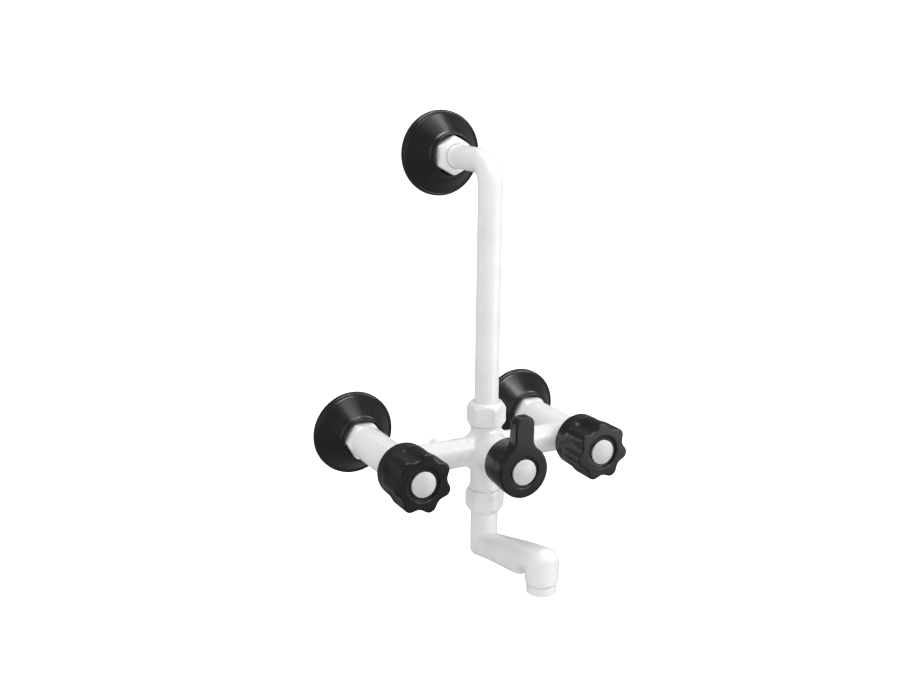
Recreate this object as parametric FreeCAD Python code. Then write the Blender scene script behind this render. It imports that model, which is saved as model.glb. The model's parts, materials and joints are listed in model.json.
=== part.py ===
import FreeCAD, Part
import math
import os

# Wall-mounted two-handle mixer tap with a riser bend and a swivel spout.
# Millimetres. The origin lies in the wall plane, midway between the two water inlets.
# +X runs along the wall, +Y goes into the wall, +Z is up, so the front of the tap faces -Y.
# "out" is a distance from the wall plane towards the front.

Vector = FreeCAD.Vector

# Overall layout
inlet_spacing = 150.0
top_outlet_height = 214.5
column_out = 80.0
screw_clearance = 0.1
running_clearance = 0.05
face_gap = 0.2

# Threads and drives
wall_thread_d = 20.955
wall_thread_length = 13.0
union_thread_d = 22.0
nut_across_flats = 26.0
drive_across_flats = 7.0
drive_length = 9.0
drive_clearance = 0.1

# Wall flanges
flange_d = 65.4
flange_rim_height = 4.6
flange_rim_land = 2.4
flange_height = 23.0
flange_neck_height = 3.2
flange_neck_wall = 2.2
flange_shell = 2.4

# Union nuts, legs and washers at the wall
nut_start_out = 12.0
nut_length = 18.0
nut_lip = 3.0
small_chamfer = (1.6, 0.3)
nut_mouth_chamfer = (2.6, 0.5)
nut_lip_chamfer = (4.6, 1.7)
leg_tube_d = 17.6
leg_bore_d = 12.0
leg_slack = 0.4
riser_slack = 0.2
union_washer_thickness = 2.0
union_washer_d = 20.0
collar_d = 20.0
snap_ring_width = 1.6
snap_ring_groove_depth = 1.1
snap_ring_slot = 2.5
nipple_neck_d = 19.0
nipple_collar_d = 24.0
nipple_collar_start = 3.0
nipple_collar_end = 9.0

# Body
arm_d = 26.4
arm_bore_d = 13.0
arm_end_out = 97.0
branch_d = 22.0
branch_bore_d = 13.0
column_blend_r = 9.0
arm_blend_r = 10.0
column_d = 22.5
neck_d = 24.2
neck_shoulder_up = 19.5
neck_shoulder_down = 31.0
neck_thread_length = 11.1
neck_flare_length = 5.0
boss_d = 30.6
boss_end_out = 112.0
boss_blend_r = 5.0
gate_stub_x = -42.0
gate_stub_d = 6.0
gate_stub_height = 0.9

# Tap valves
seat_out = 71.0
seat_wall = 5.0
seat_hole_d = 10.0
seat_lip_d = 13.5
seat_lip_height = 1.2
seat_washer_d = 14.4
seat_washer_thickness = 3.0
seat_gap = 0.1
chamber_d = 20.0
jumper_plate_d = 15.6
jumper_plate_thickness = 2.0
jumper_hex = 8.0
jumper_hex_length = 13.6
jumper_thread_d = 6.0
jumper_thread_length = 11.0
washer_screw_head_d = 6.4
washer_screw_head = 1.8
washer_screw_d = 3.0
bonnet_start_out = 87.0
bonnet_plate = 3.0
bonnet_washer_thickness = 1.0
bonnet_hex = 24.0
bonnet_hex_height = 5.0
spindle_drum_d = 12.4
spindle_collar_d = 14.0
spindle_collar_thickness = 1.6
spindle_d = 10.0
spindle_seal_section = 1.8
spindle_end_out = 121.0
valve_lift = 4.375
gland_thread_d = 16.0
gland_hex = 18.0
gland_hex_height = 4.0

# Round knobs
knob_start_out = 91.8
knob_skirt_d = 40.6
knob_lobe_d = 44.0
knob_flare_start = 9.2
knob_flare_end = 16.2
knob_length = 34.8
knob_wall = 2.6
knob_roof = 5.0
knob_hub_d = 15.0
knob_flute_count = 7
knob_flute_r = 8.0
knob_flute_depth = 3.9
knob_flute_start = 11.2
knob_relief = 0.6
knob_dish_d = 24.6
knob_dish_depth = 1.8
cap_d = 19.4
cap_rim = 1.4
cap_dome = 1.6
cap_plug_d = 12.0
cap_plug_depth = 2.0
knob_screw_d = 4.0
knob_screw_head_d = 8.0
knob_screw_head = 2.0
knob_screw_hole = 8.6
knob_screw_length = 9.0

# Diverter
rotor_start_out = 71.5
rotor_chamber_d = 20.0
rotor_sector_degrees = 100.0
rotor_wall = 3.4
rotor_seal_thickness = 1.6
rotor_disc_start_out = 88.0
rotor_disc = 3.0
diverter_bonnet_hex = 24.0
diverter_bonnet_hex_height = 4.0
diverter_shaft_end_out = 131.8
lever_knob_start_out = 110.0
lever_drum_rear_d = 36.0
lever_drum_front_d = 37.4
lever_drum_wall = 1.9
lever_disc_start_out = 129.4
lever_disc_thickness = 7.0
lever_disc_d = 40.6
lever_groove = 1.2
lever_groove_depth = 1.6
lever_width = 15.2
lever_reach = 41.4
lever_corner_r = 4.4
lever_blend_r = 10.0
lever_edge_round = 1.0
lever_roof = 6.4
lever_hub_d = 15.0
lever_dish_d = 25.0
lever_dish_depth = 1.0
lever_cap_d = 20.2

# Riser
riser_d = 18.0
riser_bore_d = 14.0
riser_bend_r = 17.0

# Spout
spout_tube_d = 21.0
spout_neck_d = 16.0
spout_bore_d = 11.5
spout_seal_section = 2.0
spout_elbow_down = 77.4
spout_reach = 83.2
spout_rise = 17.6
spout_corner_r = 4.0
spout_flare_start = 14.0
spout_flare_end = 55.0
spout_head_d = 24.8
spout_heel_reach = 60.0
spout_heel_slope = 0.43
nozzle_d = 24.2
nozzle_bottom_down = 73.6
nozzle_chamfer = (2.2, 1.0)
aerator_d = 21.7
aerator_height = 6.9
aerator_thread_d = 20.0
aerator_thread_length = 5.0
aerator_wall = 1.6
aerator_lip = 1.4
aerator_insert_height = 5.0
aerator_washer_thickness = 1.4
aerator_mesh_hole_d = 1.6
aerator_mesh_pitch = 2.6
aerator_mesh_rings = 3

# Values worked out from the sizes above
inlet_x = inlet_spacing / 2
nut_end_out = nut_start_out + nut_length
nut_corner_r = nut_across_flats / math.sqrt(3)
nut_bore_d = union_thread_d + 2 * screw_clearance
leg_end_out = nut_start_out + nut_lip + face_gap + snap_ring_width + 3.2
spigot_end_out = leg_end_out + union_washer_thickness
shoulder_out = nut_end_out + face_gap
lip_hole_d = riser_d + 2 * riser_slack
leg_hole_d = leg_tube_d + 2 * leg_slack
flange_bore_r = nut_corner_r + 0.4
flange_neck_r = flange_bore_r + flange_neck_wall
branch_r = branch_d / 2
column_r = column_d / 2
arm_axes = {"left": -inlet_x, "right": inlet_x}
riser_nut_bottom = neck_shoulder_up + face_gap
spout_nut_top = -neck_shoulder_down - face_gap
spout_nut_bottom = spout_nut_top - nut_length
neck_top = neck_shoulder_up + neck_thread_length
neck_bottom = -neck_shoulder_down - neck_thread_length - 1.5

OUT = (Vector(0, -1, 0), FreeCAD.Rotation(Vector(1, 0, 0), 90))
UP = (Vector(0, 0, 1), FreeCAD.Rotation())
ALONG = (Vector(1, 0, 0), FreeCAD.Rotation(Vector(0, 1, 0), 90))


def place(shape, at, direction):
    """Turn a shape built along +Z so that it runs along a direction from a point."""
    moved = shape.copy()
    moved.Placement = FreeCAD.Placement(Vector(*at), direction[1])
    return moved


def rounded_wire(corners, to_point):
    """Closed wire through (a, b) or (a, b, radius) corners, each radius an arc tangent to both sides."""
    edges = []
    ends = []
    count = len(corners)
    for i, corner in enumerate(corners):
        here = Vector(corner[0], corner[1], 0)
        radius = corner[2] if len(corner) > 2 else 0.0
        if radius <= 0:
            ends.append((here, here))
            continue
        before = Vector(*corners[i - 1][:2], 0)
        after = Vector(*corners[(i + 1) % count][:2], 0)
        back = (before - here).normalize()
        ahead = (after - here).normalize()
        half = back.getAngle(ahead) / 2
        reach = radius / math.tan(half)
        middle = here + (back + ahead).normalize() * (radius / math.sin(half))
        nearest = middle - (back + ahead).normalize() * radius
        start = here + back * reach
        finish = here + ahead * reach
        edges.append(Part.Arc(to_point(start), to_point(nearest), to_point(finish)).toShape())
        ends.append((start, finish))
    for i in range(count):
        start = ends[i][1]
        finish = ends[(i + 1) % count][0]
        if start.distanceToPoint(finish) > 1e-6:
            edges.append(Part.LineSegment(to_point(start), to_point(finish)).toShape())
    return Part.Wire(Part.__sortEdges__(edges))


def turned(corners, at=(0, 0, 0), direction=OUT):
    """Solid of revolution from a closed outline of (distance along the axis, radius[, corner radius])."""
    wire = rounded_wire(corners, lambda p: Vector(p.y, 0, p.x))
    solid = Part.Face(wire).revolve(Vector(0, 0, 0), Vector(0, 0, 1), 360)
    return place(solid, at, direction)


def rod(start, end, diameter, at=(0, 0, 0), direction=OUT):
    """Plain cylinder between two distances along an axis."""
    cylinder = Part.makeCylinder(diameter / 2, end - start, Vector(0, 0, start))
    return place(cylinder, at, direction)


def tube(start, end, outer, inner, at=(0, 0, 0), direction=OUT):
    """Plain ring between two distances along an axis."""
    return rod(start, end, outer, at, direction).cut(rod(start, end, inner, at, direction))


def prism(start, end, across_flats, sides, at=(0, 0, 0), direction=OUT, turn=0.0):
    """Regular prism, such as a hexagon or a square drive, between two distances along an axis."""
    radius = across_flats / 2 / math.cos(math.pi / sides)
    angles = [math.radians(turn) + 2 * math.pi * (k + 0.5) / sides for k in range(sides)]
    points = [Vector(radius * math.cos(a), radius * math.sin(a), start) for a in angles]
    solid = Part.Face(Part.makePolygon(points + points[:1])).extrude(Vector(0, 0, end - start))
    return place(solid, at, direction)


def hexagon_nut(start, end, across_flats, holes, at, direction=OUT, turn=0.0,
                start_chamfer=small_chamfer, end_chamfer=small_chamfer):
    """Chamfered hexagon nut; holes are (start, end, diameter), chamfers (length, depth inside the flats)."""
    corner_r = across_flats / math.sqrt(3)
    flat_r = across_flats / 2
    outline = [
        (start, 0),
        (start, flat_r - start_chamfer[1]),
        (start + start_chamfer[0], corner_r + 0.1),
        (end - end_chamfer[0], corner_r + 0.1),
        (end, flat_r - end_chamfer[1]),
        (end, 0),
    ]
    nut = prism(start, end, across_flats, 6, at, direction, turn).common(turned(outline, at, direction))
    for hole_start, hole_end, diameter in holes:
        nut = nut.cut(rod(hole_start, hole_end, diameter, at, direction))
    return nut


def ring(position, inner_d, section_d, at, direction=OUT):
    """Round-section sealing ring, its middle at a distance along the axis."""
    torus = Part.makeTorus(inner_d / 2 + section_d / 2, section_d / 2, Vector(0, 0, position))
    return place(torus, at, direction)


def snap_ring(start, outer_d, inner_d, at, direction=OUT):
    """Flat ring with a slot, sprung into a groove."""
    flat = tube(start, start + snap_ring_width, outer_d, inner_d, at, direction)
    slot = Part.makeBox(snap_ring_slot, outer_d, snap_ring_width + 2,
                        Vector(-snap_ring_slot / 2, 0, start - 1))
    return flat.cut(place(slot, at, direction))


def joined(shapes):
    """One solid from overlapping shapes."""
    whole = shapes[0]
    for shape in shapes[1:]:
        whole = whole.fuse(shape)
    return whole.removeSplitter()


# Wall side

def wall_flange(at):
    rim_r = flange_d / 2
    cone_end = flange_height - flange_neck_height
    return turned([
        (0, rim_r),
        (flange_rim_height, rim_r, 1.2),
        (flange_rim_height + 0.5, rim_r - flange_rim_land, 0.5),
        (cone_end, flange_neck_r + 0.8, 0.8),
        (cone_end + 0.6, flange_neck_r, 0.3),
        (flange_height, flange_neck_r, 0.9),
        (flange_height, flange_bore_r, 0.5),
        (cone_end - flange_shell, flange_bore_r, 0.6),
        (flange_rim_height - 1.0, rim_r - flange_rim_land - flange_shell),
        (0, rim_r - flange_shell),
    ], at)


def union_leg(at):
    """Inlet leg: wall thread, tube, snap-ring groove and a hexagon wrench socket in the wall end."""
    groove_start = nut_start_out + nut_lip + face_gap
    groove_d = leg_tube_d - 2 * snap_ring_groove_depth
    leg = joined([
        turned([(-wall_thread_length, 0), (-wall_thread_length, wall_thread_d / 2, 0.8),
                (0, wall_thread_d / 2), (0, 0)], at),
        rod(-1, leg_end_out, leg_tube_d, at),
    ])
    leg = leg.cut(rod(-wall_thread_length - 1, leg_end_out + 1, leg_bore_d, at))
    leg = leg.cut(prism(-wall_thread_length - 1, -wall_thread_length + 6, leg_bore_d, 6, at))
    return leg.cut(tube(groove_start, groove_start + snap_ring_width, leg_tube_d + 1, groove_d, at))


def top_nipple(at):
    """Riser's wall nipple: wall thread, collar with two flats' worth of grip, and the union thread."""
    nipple = joined([
        turned([(-wall_thread_length, 0), (-wall_thread_length, wall_thread_d / 2, 0.8),
                (0, wall_thread_d / 2), (0, 0)], at),
        rod(-1, nipple_collar_start + 1, nipple_neck_d, at),
        prism(nipple_collar_start, nipple_collar_end, nipple_collar_d, 6, at),
        rod(nipple_collar_end - 1, spigot_end_out, union_thread_d, at),
    ])
    return nipple.cut(rod(-wall_thread_length - 1, spigot_end_out + 1, riser_bore_d, at))


def inlet_union_nut(at):
    return hexagon_nut(nut_start_out, nut_end_out, nut_across_flats, [
        (nut_start_out - 1, nut_end_out + 1, leg_hole_d),
        (nut_start_out + nut_lip, nut_end_out + 1, nut_bore_d),
    ], at, turn=30.0, start_chamfer=nut_lip_chamfer, end_chamfer=nut_mouth_chamfer)


def top_union_nut(at):
    return hexagon_nut(nut_start_out, nut_end_out, nut_across_flats, [
        (nut_start_out - 1, nut_end_out + 1, lip_hole_d),
        (nut_start_out - 1, nut_end_out - nut_lip, nut_bore_d),
    ], at, start_chamfer=nut_mouth_chamfer, end_chamfer=nut_lip_chamfer)


# Body

def blended(solid, radius, chosen):
    """Solid with the curved edges that a test chooses rounded off into concave blends."""
    edges = [edge for edge in solid.Edges if isinstance(edge.Curve, Part.BSplineCurve) and chosen(edge)]
    return solid.makeFillet(radius, edges)


def on_boss(edge):
    """True for an edge where the front boss runs into the rest of the body."""
    half_way = edge.valueAt((edge.FirstParameter + edge.LastParameter) / 2)
    return abs(math.hypot(half_way.x, half_way.z) - boss_d / 2) < 0.001


def blended_core():
    """Column, branches, arms and front boss in one solid, with round blends where they meet."""
    middle = (0, -column_out, 0)
    core = joined([
        rod(-inlet_x, inlet_x, branch_d, middle, ALONG),
        rod(-neck_shoulder_down, neck_shoulder_up, column_d, middle, UP),
    ])
    core = blended(core, column_blend_r, lambda edge: True)
    core = joined([core] + [rod(shoulder_out, arm_end_out, arm_d, (x, 0, 0)) for x in arm_axes.values()])
    core = blended(core, arm_blend_r, lambda edge: inlet_x - arm_d < abs(edge.CenterOfMass.x) < inlet_x)
    core = joined([core, rod(column_out, boss_end_out, boss_d)])
    return blended(core, boss_blend_r, on_boss)


def mixer_body():
    middle = (0, -column_out, 0)
    neck_r = neck_d / 2
    necks = [
        turned([(neck_shoulder_up - neck_flare_length, 0), (neck_shoulder_up - neck_flare_length, column_r),
                (neck_shoulder_up - 1, neck_r), (neck_shoulder_up, neck_r), (neck_shoulder_up, 0)], middle, UP),
        turned([(-neck_shoulder_down, 0), (-neck_shoulder_down, neck_r), (1 - neck_shoulder_down, neck_r),
                (neck_flare_length - neck_shoulder_down, column_r), (neck_flare_length - neck_shoulder_down, 0)],
               middle, UP),
        rod(0, neck_top, union_thread_d, middle, UP),
        rod(neck_bottom, 0, union_thread_d, middle, UP),
    ]
    shoulders = [rod(spigot_end_out, shoulder_out + 1, union_thread_d, (x, 0, 0)) for x in arm_axes.values()]
    stub_out = column_out - 4
    stub = rod(branch_r - 3, branch_r + gate_stub_height, gate_stub_d, (gate_stub_x, -stub_out, 0), UP)
    body = joined([blended_core()] + necks + shoulders + [stub])
    holes = []
    for x in arm_axes.values():
        at = (x, 0, 0)
        holes.append(rod(spigot_end_out - 1, seat_out - seat_wall, arm_bore_d, at))
        holes.append(rod(seat_out - seat_wall - 1, seat_out + 1, seat_hole_d, at))
        holes.append(rod(seat_out, arm_end_out + 1, chamber_d, at))
        holes.append(tube(knob_start_out - knob_relief, arm_end_out + 1, knob_skirt_d + 2 * knob_relief,
                          knob_skirt_d - 2 * knob_wall - 2 * knob_relief, at))
    holes.append(rod(-inlet_x, inlet_x, branch_bore_d, middle, ALONG))
    holes.append(rod(neck_bottom - 1, neck_top + 1, branch_bore_d, middle, UP))
    holes.append(rod(neck_bottom - 1, neck_bottom + 11, spout_neck_d + 2 * running_clearance, middle, UP))
    holes.append(rod(rotor_start_out - face_gap, boss_end_out + 1, rotor_chamber_d))
    holes.append(rod(rotor_disc_start_out + rotor_disc + face_gap, boss_end_out + 1, union_thread_d))
    for hole in holes:
        body = body.cut(hole)
    for x in arm_axes.values():
        lip = tube(seat_out - 1, seat_out + seat_lip_height, seat_lip_d, seat_hole_d, (x, 0, 0))
        body = body.fuse(lip)
    return body.removeSplitter()


# Tap valves

def seat_level():
    """Distance from the wall of the closed seat washer's sealing face."""
    return seat_out + seat_lip_height + seat_gap


def seat_washer(at):
    start = seat_level()
    washer = tube(start, start + seat_washer_thickness, seat_washer_d, washer_screw_d + 0.2, at)
    recess = rod(start - 1, start + washer_screw_head + 0.1, washer_screw_head_d + 0.2, at)
    return washer.cut(recess)


def washer_screw(at):
    start = seat_level()
    head = rod(start + 0.1, start + 0.1 + washer_screw_head, washer_screw_head_d, at)
    slot = Part.makeBox(washer_screw_head_d + 1, 0.8, 0.8,
                        Vector(-washer_screw_head_d / 2 - 0.5, -0.4, start))
    shank = rod(start + washer_screw_head, start + seat_washer_thickness + 6, washer_screw_d, at)
    return head.fuse(shank).cut(place(slot, at, OUT))


def jumper(at):
    start = seat_level() + seat_washer_thickness
    hex_start = start + jumper_plate_thickness
    hex_end = hex_start + jumper_hex_length
    carrier = joined([
        rod(start, hex_start, jumper_plate_d, at),
        prism(hex_start - 0.5, hex_end, jumper_hex, 6, at),
        rod(hex_end - 0.5, hex_end + jumper_thread_length, jumper_thread_d, at),
    ])
    return carrier.cut(rod(start - 1, start + 6.4, washer_screw_d + 0.1, at))


def bonnet(at):
    thread_r = chamber_d / 2 - screw_clearance
    plate_end = bonnet_start_out + bonnet_plate
    shoulder = arm_end_out + bonnet_washer_thickness
    top = shoulder + bonnet_hex_height
    shell = joined([
        turned([(bonnet_start_out, 0), (bonnet_start_out, thread_r, 0.8), (shoulder + 1, thread_r),
                (shoulder + 1, 0)], at),
        hexagon_nut(shoulder, top, bonnet_hex, [], at),
    ])
    drum_hole = spindle_drum_d + 2 * running_clearance
    collar_hole = spindle_collar_d + 2 * screw_clearance
    collar_start = arm_end_out
    shell = shell.cut(prism(bonnet_start_out - 1, plate_end + 1, jumper_hex + 2 * screw_clearance, 6, at))
    shell = shell.cut(rod(plate_end, top + 1, drum_hole, at))
    shell = shell.cut(rod(collar_start, top + 1, collar_hole, at))
    gland_start = collar_start + spindle_collar_thickness + 2 * face_gap
    return shell.cut(rod(gland_start, top + 1, gland_thread_d + 2 * screw_clearance, at))


def bonnet_washer(at):
    return tube(arm_end_out, arm_end_out + bonnet_washer_thickness, arm_d - 1.4, chamber_d, at)


def spindle(at):
    """Turning spindle with a threaded bore that drives the jumper, a thrust collar and a square end."""
    drum_start = bonnet_start_out + bonnet_plate + face_gap
    collar_start = arm_end_out + face_gap
    collar_end = collar_start + spindle_collar_thickness
    shaft_end = spindle_end_out - drive_length
    body = joined([
        rod(drum_start, collar_start + 0.5, spindle_drum_d, at),
        rod(collar_start, collar_end, spindle_collar_d, at),
        rod(collar_end - 0.5, shaft_end, spindle_d, at),
        prism(shaft_end - 0.5, spindle_end_out, drive_across_flats, 4, at),
    ])
    hex_room = seat_level() + seat_washer_thickness + jumper_plate_thickness + jumper_hex_length
    hex_room = hex_room + valve_lift + 0.5
    thread_room = hex_room + jumper_thread_length + 0.5
    body = body.cut(rod(drum_start - 1, hex_room, jumper_hex / math.cos(math.pi / 6) + 0.3, at))
    body = body.cut(rod(drum_start, thread_room, jumper_thread_d + 2 * running_clearance, at))
    groove = tube(seal_out() - spindle_seal_section * 0.6, seal_out() + spindle_seal_section * 0.6,
                  spindle_d + 1, spindle_d - 2 * spindle_seal_section, at)
    screw_hole = rod(spindle_end_out - knob_screw_hole, spindle_end_out + 1, knob_screw_d, at)
    return body.cut(groove).cut(screw_hole)


def seal_out():
    """Distance from the wall of the spindle ring's middle, inside the gland nut."""
    return arm_end_out + bonnet_washer_thickness + bonnet_hex_height + 1.4


def spindle_ring(at):
    return ring(seal_out(), spindle_d - 2 * spindle_seal_section, spindle_seal_section, at)


def gland_nut(at):
    thread_start = arm_end_out + spindle_collar_thickness + 2 * face_gap
    hex_start = arm_end_out + bonnet_washer_thickness + bonnet_hex_height + face_gap
    nut = joined([
        rod(thread_start, hex_start + 0.5, gland_thread_d, at),
        hexagon_nut(hex_start, hex_start + gland_hex_height, gland_hex, [], at),
    ])
    return nut.cut(rod(thread_start - 1, hex_start + gland_hex_height + 1,
                       spindle_d + 2 * running_clearance, at))


# Knobs

def well_floor(cap_seat):
    """Floor of the round well behind a cap, where the screw's head sits."""
    return cap_seat - cap_plug_depth - face_gap


def knob(at):
    """Lobed knob: round skirt, seven flutes that run out on it, dished front and a square-drive hub."""
    skirt_r = knob_skirt_d / 2
    lobe_r = knob_lobe_d / 2
    start = knob_start_out
    end = start + knob_length
    inner_r = skirt_r - knob_wall
    shell = turned([
        (start, inner_r),
        (start, skirt_r, 0.8),
        (start + knob_flare_start, skirt_r + 0.3, 6.0),
        (start + knob_flare_end, lobe_r, 6.0),
        (end, lobe_r, 3.2),
        (end + 0.6, 0),
        (end - knob_roof, 0),
        (end - knob_roof, inner_r - 2.0, 2.0),
        (start + knob_flute_start, inner_r - 2.0, 2.0),
        (start + knob_flute_start - 3.0, inner_r),
    ], at)
    flute_axis_r = lobe_r - knob_flute_depth + knob_flute_r
    for k in range(knob_flute_count):
        angle = math.radians(90) + 2 * math.pi * (k + 0.5) / knob_flute_count
        spot = (at[0] + flute_axis_r * math.cos(angle), at[1], at[2] + flute_axis_r * math.sin(angle))
        flute_start = start + knob_flute_start + knob_flute_r * 0.55
        cutter = rod(flute_start, end + 5, 2 * knob_flute_r, spot)
        ball = Part.makeSphere(knob_flute_r, Vector(spot[0], spot[1] - flute_start, spot[2]))
        shell = shell.cut(cutter.fuse(ball))
    hub_start = spindle_end_out - drive_length + 1.0
    hub = rod(hub_start, end - 1, knob_hub_d, at)
    shell = shell.fuse(hub)
    drive = drive_across_flats + 2 * drive_clearance
    shell = shell.cut(prism(hub_start - 1, spindle_end_out + face_gap, drive, 4, at))
    shell = shell.cut(rod(hub_start, end + 1, knob_screw_d + 0.4, at))
    dish = turned([(end - knob_dish_depth, 0), (end - knob_dish_depth, knob_dish_d / 2, 0.8),
                   (end + 2, knob_dish_d / 2 + 1.2), (end + 2, 0)], at)
    well = rod(well_floor(end - knob_dish_depth), end + 1, cap_plug_d + 0.2, at)
    return shell.cut(dish).cut(well).removeSplitter()


def drive_screw(head_start, at):
    """Pan-head screw that holds a knob on its spindle."""
    head_end = head_start + knob_screw_head
    screw = joined([
        turned([(head_start, 0), (head_start, knob_screw_head_d / 2), (head_end, knob_screw_head_d / 2, 1.2),
                (head_end, 0)], at),
        rod(head_start - knob_screw_length, head_start + 0.5, knob_screw_d - 0.1, at),
    ])
    slots = [Part.makeBox(4.4, 0.9, 2, Vector(-2.2, -0.45, head_end - 1.3)),
             Part.makeBox(0.9, 4.4, 2, Vector(-0.45, -2.2, head_end - 1.3))]
    for slot in slots:
        screw = screw.cut(place(slot, at, OUT))
    return screw


def domed_cap(seat, diameter, at):
    """Cap that plugs into a knob: plug ring behind, bevelled rim and a low dome in front."""
    r = diameter / 2
    sphere_r = (r * r + cap_dome * cap_dome) / (2 * cap_dome)
    disc = rod(seat, seat + cap_rim + cap_dome, diameter, at)
    top = seat + cap_rim + cap_dome
    ball = Part.makeSphere(sphere_r, Vector(at[0], -(top - sphere_r), at[2]))
    dome = disc.common(ball)
    plug = tube(seat - cap_plug_depth, seat + 0.5, cap_plug_d, cap_plug_d - 2.4, at)
    return dome.fuse(plug).removeSplitter()


# Diverter

def sector(start, end, outer_r, inner_r, degrees, at):
    """Part of a ring, centred on straight down."""
    wedge = Part.makeCylinder(outer_r, end - start, Vector(0, 0, start), Vector(0, 0, 1), degrees)
    wedge.rotate(Vector(0, 0, 0), Vector(0, 0, 1), -90 - degrees / 2)
    wedge = wedge.cut(Part.makeCylinder(inner_r, end - start + 2, Vector(0, 0, start - 1)))
    return place(wedge, at, OUT)


def diverter_rotor():
    """Rotor that closes the lower outlet at rest, with its disc, shaft and square end in one piece."""
    at = (0, 0, 0)
    r = rotor_chamber_d / 2 - 0.1
    disc_end = rotor_disc_start_out + rotor_disc
    shaft_end = diverter_shaft_end_out - drive_length
    wall_r = r - rotor_seal_thickness
    rotor = joined([
        sector(rotor_start_out, rotor_disc_start_out + 0.5, wall_r, wall_r - rotor_wall,
               rotor_sector_degrees, at),
        rod(rotor_disc_start_out, disc_end, 2 * r, at),
        rod(disc_end - 0.5, shaft_end, spindle_d, at),
        prism(shaft_end - 0.5, diverter_shaft_end_out, drive_across_flats, 4, at),
    ])
    for position in rotor_seal_places():
        rotor = rotor.cut(tube(position - 1.1, position + 1.1, spindle_d + 1,
                               spindle_d - 2 * spindle_seal_section, at))
    screw_hole_start = diverter_shaft_end_out - knob_screw_hole
    return rotor.cut(rod(screw_hole_start, diverter_shaft_end_out + 1, knob_screw_d, at))


def rotor_seal_places():
    first = rotor_disc_start_out + rotor_disc + 7.0
    return [first, first + 5.0]


def rotor_seal():
    r = rotor_chamber_d / 2 - 0.1
    return sector(rotor_start_out + 0.5, rotor_disc_start_out, r, r - rotor_seal_thickness,
                  rotor_sector_degrees - 6, (0, 0, 0))


def diverter_rings():
    rings = [ring(p, spindle_d - 2 * spindle_seal_section, spindle_seal_section, (0, 0, 0))
             for p in rotor_seal_places()]
    return Part.makeCompound(rings)


def diverter_bonnet():
    at = (0, 0, 0)
    start = rotor_disc_start_out + rotor_disc + 2 * face_gap
    shoulder = boss_end_out + bonnet_washer_thickness
    top = shoulder + diverter_bonnet_hex_height
    shell = joined([
        rod(start, shoulder + 1, union_thread_d - 2 * screw_clearance, at),
        hexagon_nut(shoulder, top, diverter_bonnet_hex, [], at),
    ])
    return shell.cut(rod(start - 1, top + 1, spindle_d + 2 * running_clearance, at))


def diverter_washer():
    return tube(boss_end_out, boss_end_out + bonnet_washer_thickness, diverter_bonnet_hex + 1,
                union_thread_d, (0, 0, 0))


def lever_outline(start, end):
    """Round disc with an upright lever, joined by concave blends, as an extruded solid."""
    r = lever_disc_d / 2
    half = lever_width / 2
    cx = half + lever_blend_r
    cz = math.sqrt((r + lever_blend_r) ** 2 - cx ** 2)
    on_circle = Vector(cx, cz, 0) * (r / (r + lever_blend_r))
    blend_middle = (Vector(half, cz, 0) + on_circle) * 0.5
    inward = (blend_middle - Vector(cx, cz, 0)).normalize()
    blend_middle = Vector(cx, cz, 0) + inward * lever_blend_r
    corner = lever_corner_r
    bend = corner * (1 - math.sqrt(0.5))
    top = lever_reach

    def mirrored(p):
        return Vector(-p.x, p.y, 0)

    right = [
        (on_circle, blend_middle, Vector(half, cz, 0)),
        (Vector(half, top - corner, 0), Vector(half - bend, top - bend, 0), Vector(half - corner, top, 0)),
    ]
    edges = [Part.Arc(*right[0]).toShape()]
    edges.append(Part.LineSegment(right[0][2], right[1][0]).toShape())
    edges.append(Part.Arc(*right[1]).toShape())
    edges.append(Part.LineSegment(right[1][2], mirrored(right[1][2])).toShape())
    edges.append(Part.Arc(*[mirrored(p) for p in reversed(right[1])]).toShape())
    edges.append(Part.LineSegment(mirrored(right[1][0]), mirrored(right[0][2])).toShape())
    edges.append(Part.Arc(*[mirrored(p) for p in reversed(right[0])]).toShape())
    edges.append(Part.Arc(mirrored(on_circle), Vector(0, -r, 0), on_circle).toShape())
    face = Part.Face(Part.Wire(edges))
    face.translate(Vector(0, 0, start))
    return face.extrude(Vector(0, 0, end - start))


def diverter_knob():
    at = (0, 0, 0)
    start = lever_knob_start_out
    disc_start = lever_disc_start_out
    end = disc_start + lever_disc_thickness
    head = lever_outline(disc_start, end)
    rims = [e for e in head.Edges if abs(e.CenterOfMass.z - end) < 1e-6]
    head = head.makeFillet(lever_edge_round, rims)
    head = place(head, at, OUT)
    rear_r = lever_drum_rear_d / 2
    front_r = lever_drum_front_d / 2
    drum = turned([
        (start, rear_r - lever_drum_wall), (start, rear_r, 0.8), (disc_start - lever_groove, front_r, 0.8),
        (disc_start - lever_groove, front_r - lever_groove_depth),
        (disc_start + 1, front_r - lever_groove_depth), (disc_start + 1, 0), (end - lever_roof, 0),
        (end - lever_roof, rear_r - lever_drum_wall - 1, 1.5),
    ], at)
    hub_start = diverter_shaft_end_out - drive_length + 1.0
    whole = joined([drum, head, rod(hub_start, end - 1, lever_hub_d, at)])
    dish = turned([(end - lever_dish_depth, 0), (end - lever_dish_depth, lever_dish_d / 2, 0.5),
                   (end + 2, lever_dish_d / 2 + 1.6), (end + 2, 0)], at)
    well = rod(well_floor(end - lever_dish_depth), end + 1, cap_plug_d + 0.2, at)
    drive = drive_across_flats + 2 * drive_clearance
    whole = whole.cut(prism(hub_start - 1, diverter_shaft_end_out + face_gap, drive, 4, at))
    whole = whole.cut(rod(hub_start, end + 1, knob_screw_d + 0.4, at))
    return whole.cut(dish).cut(well).removeSplitter()


# Riser

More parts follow.
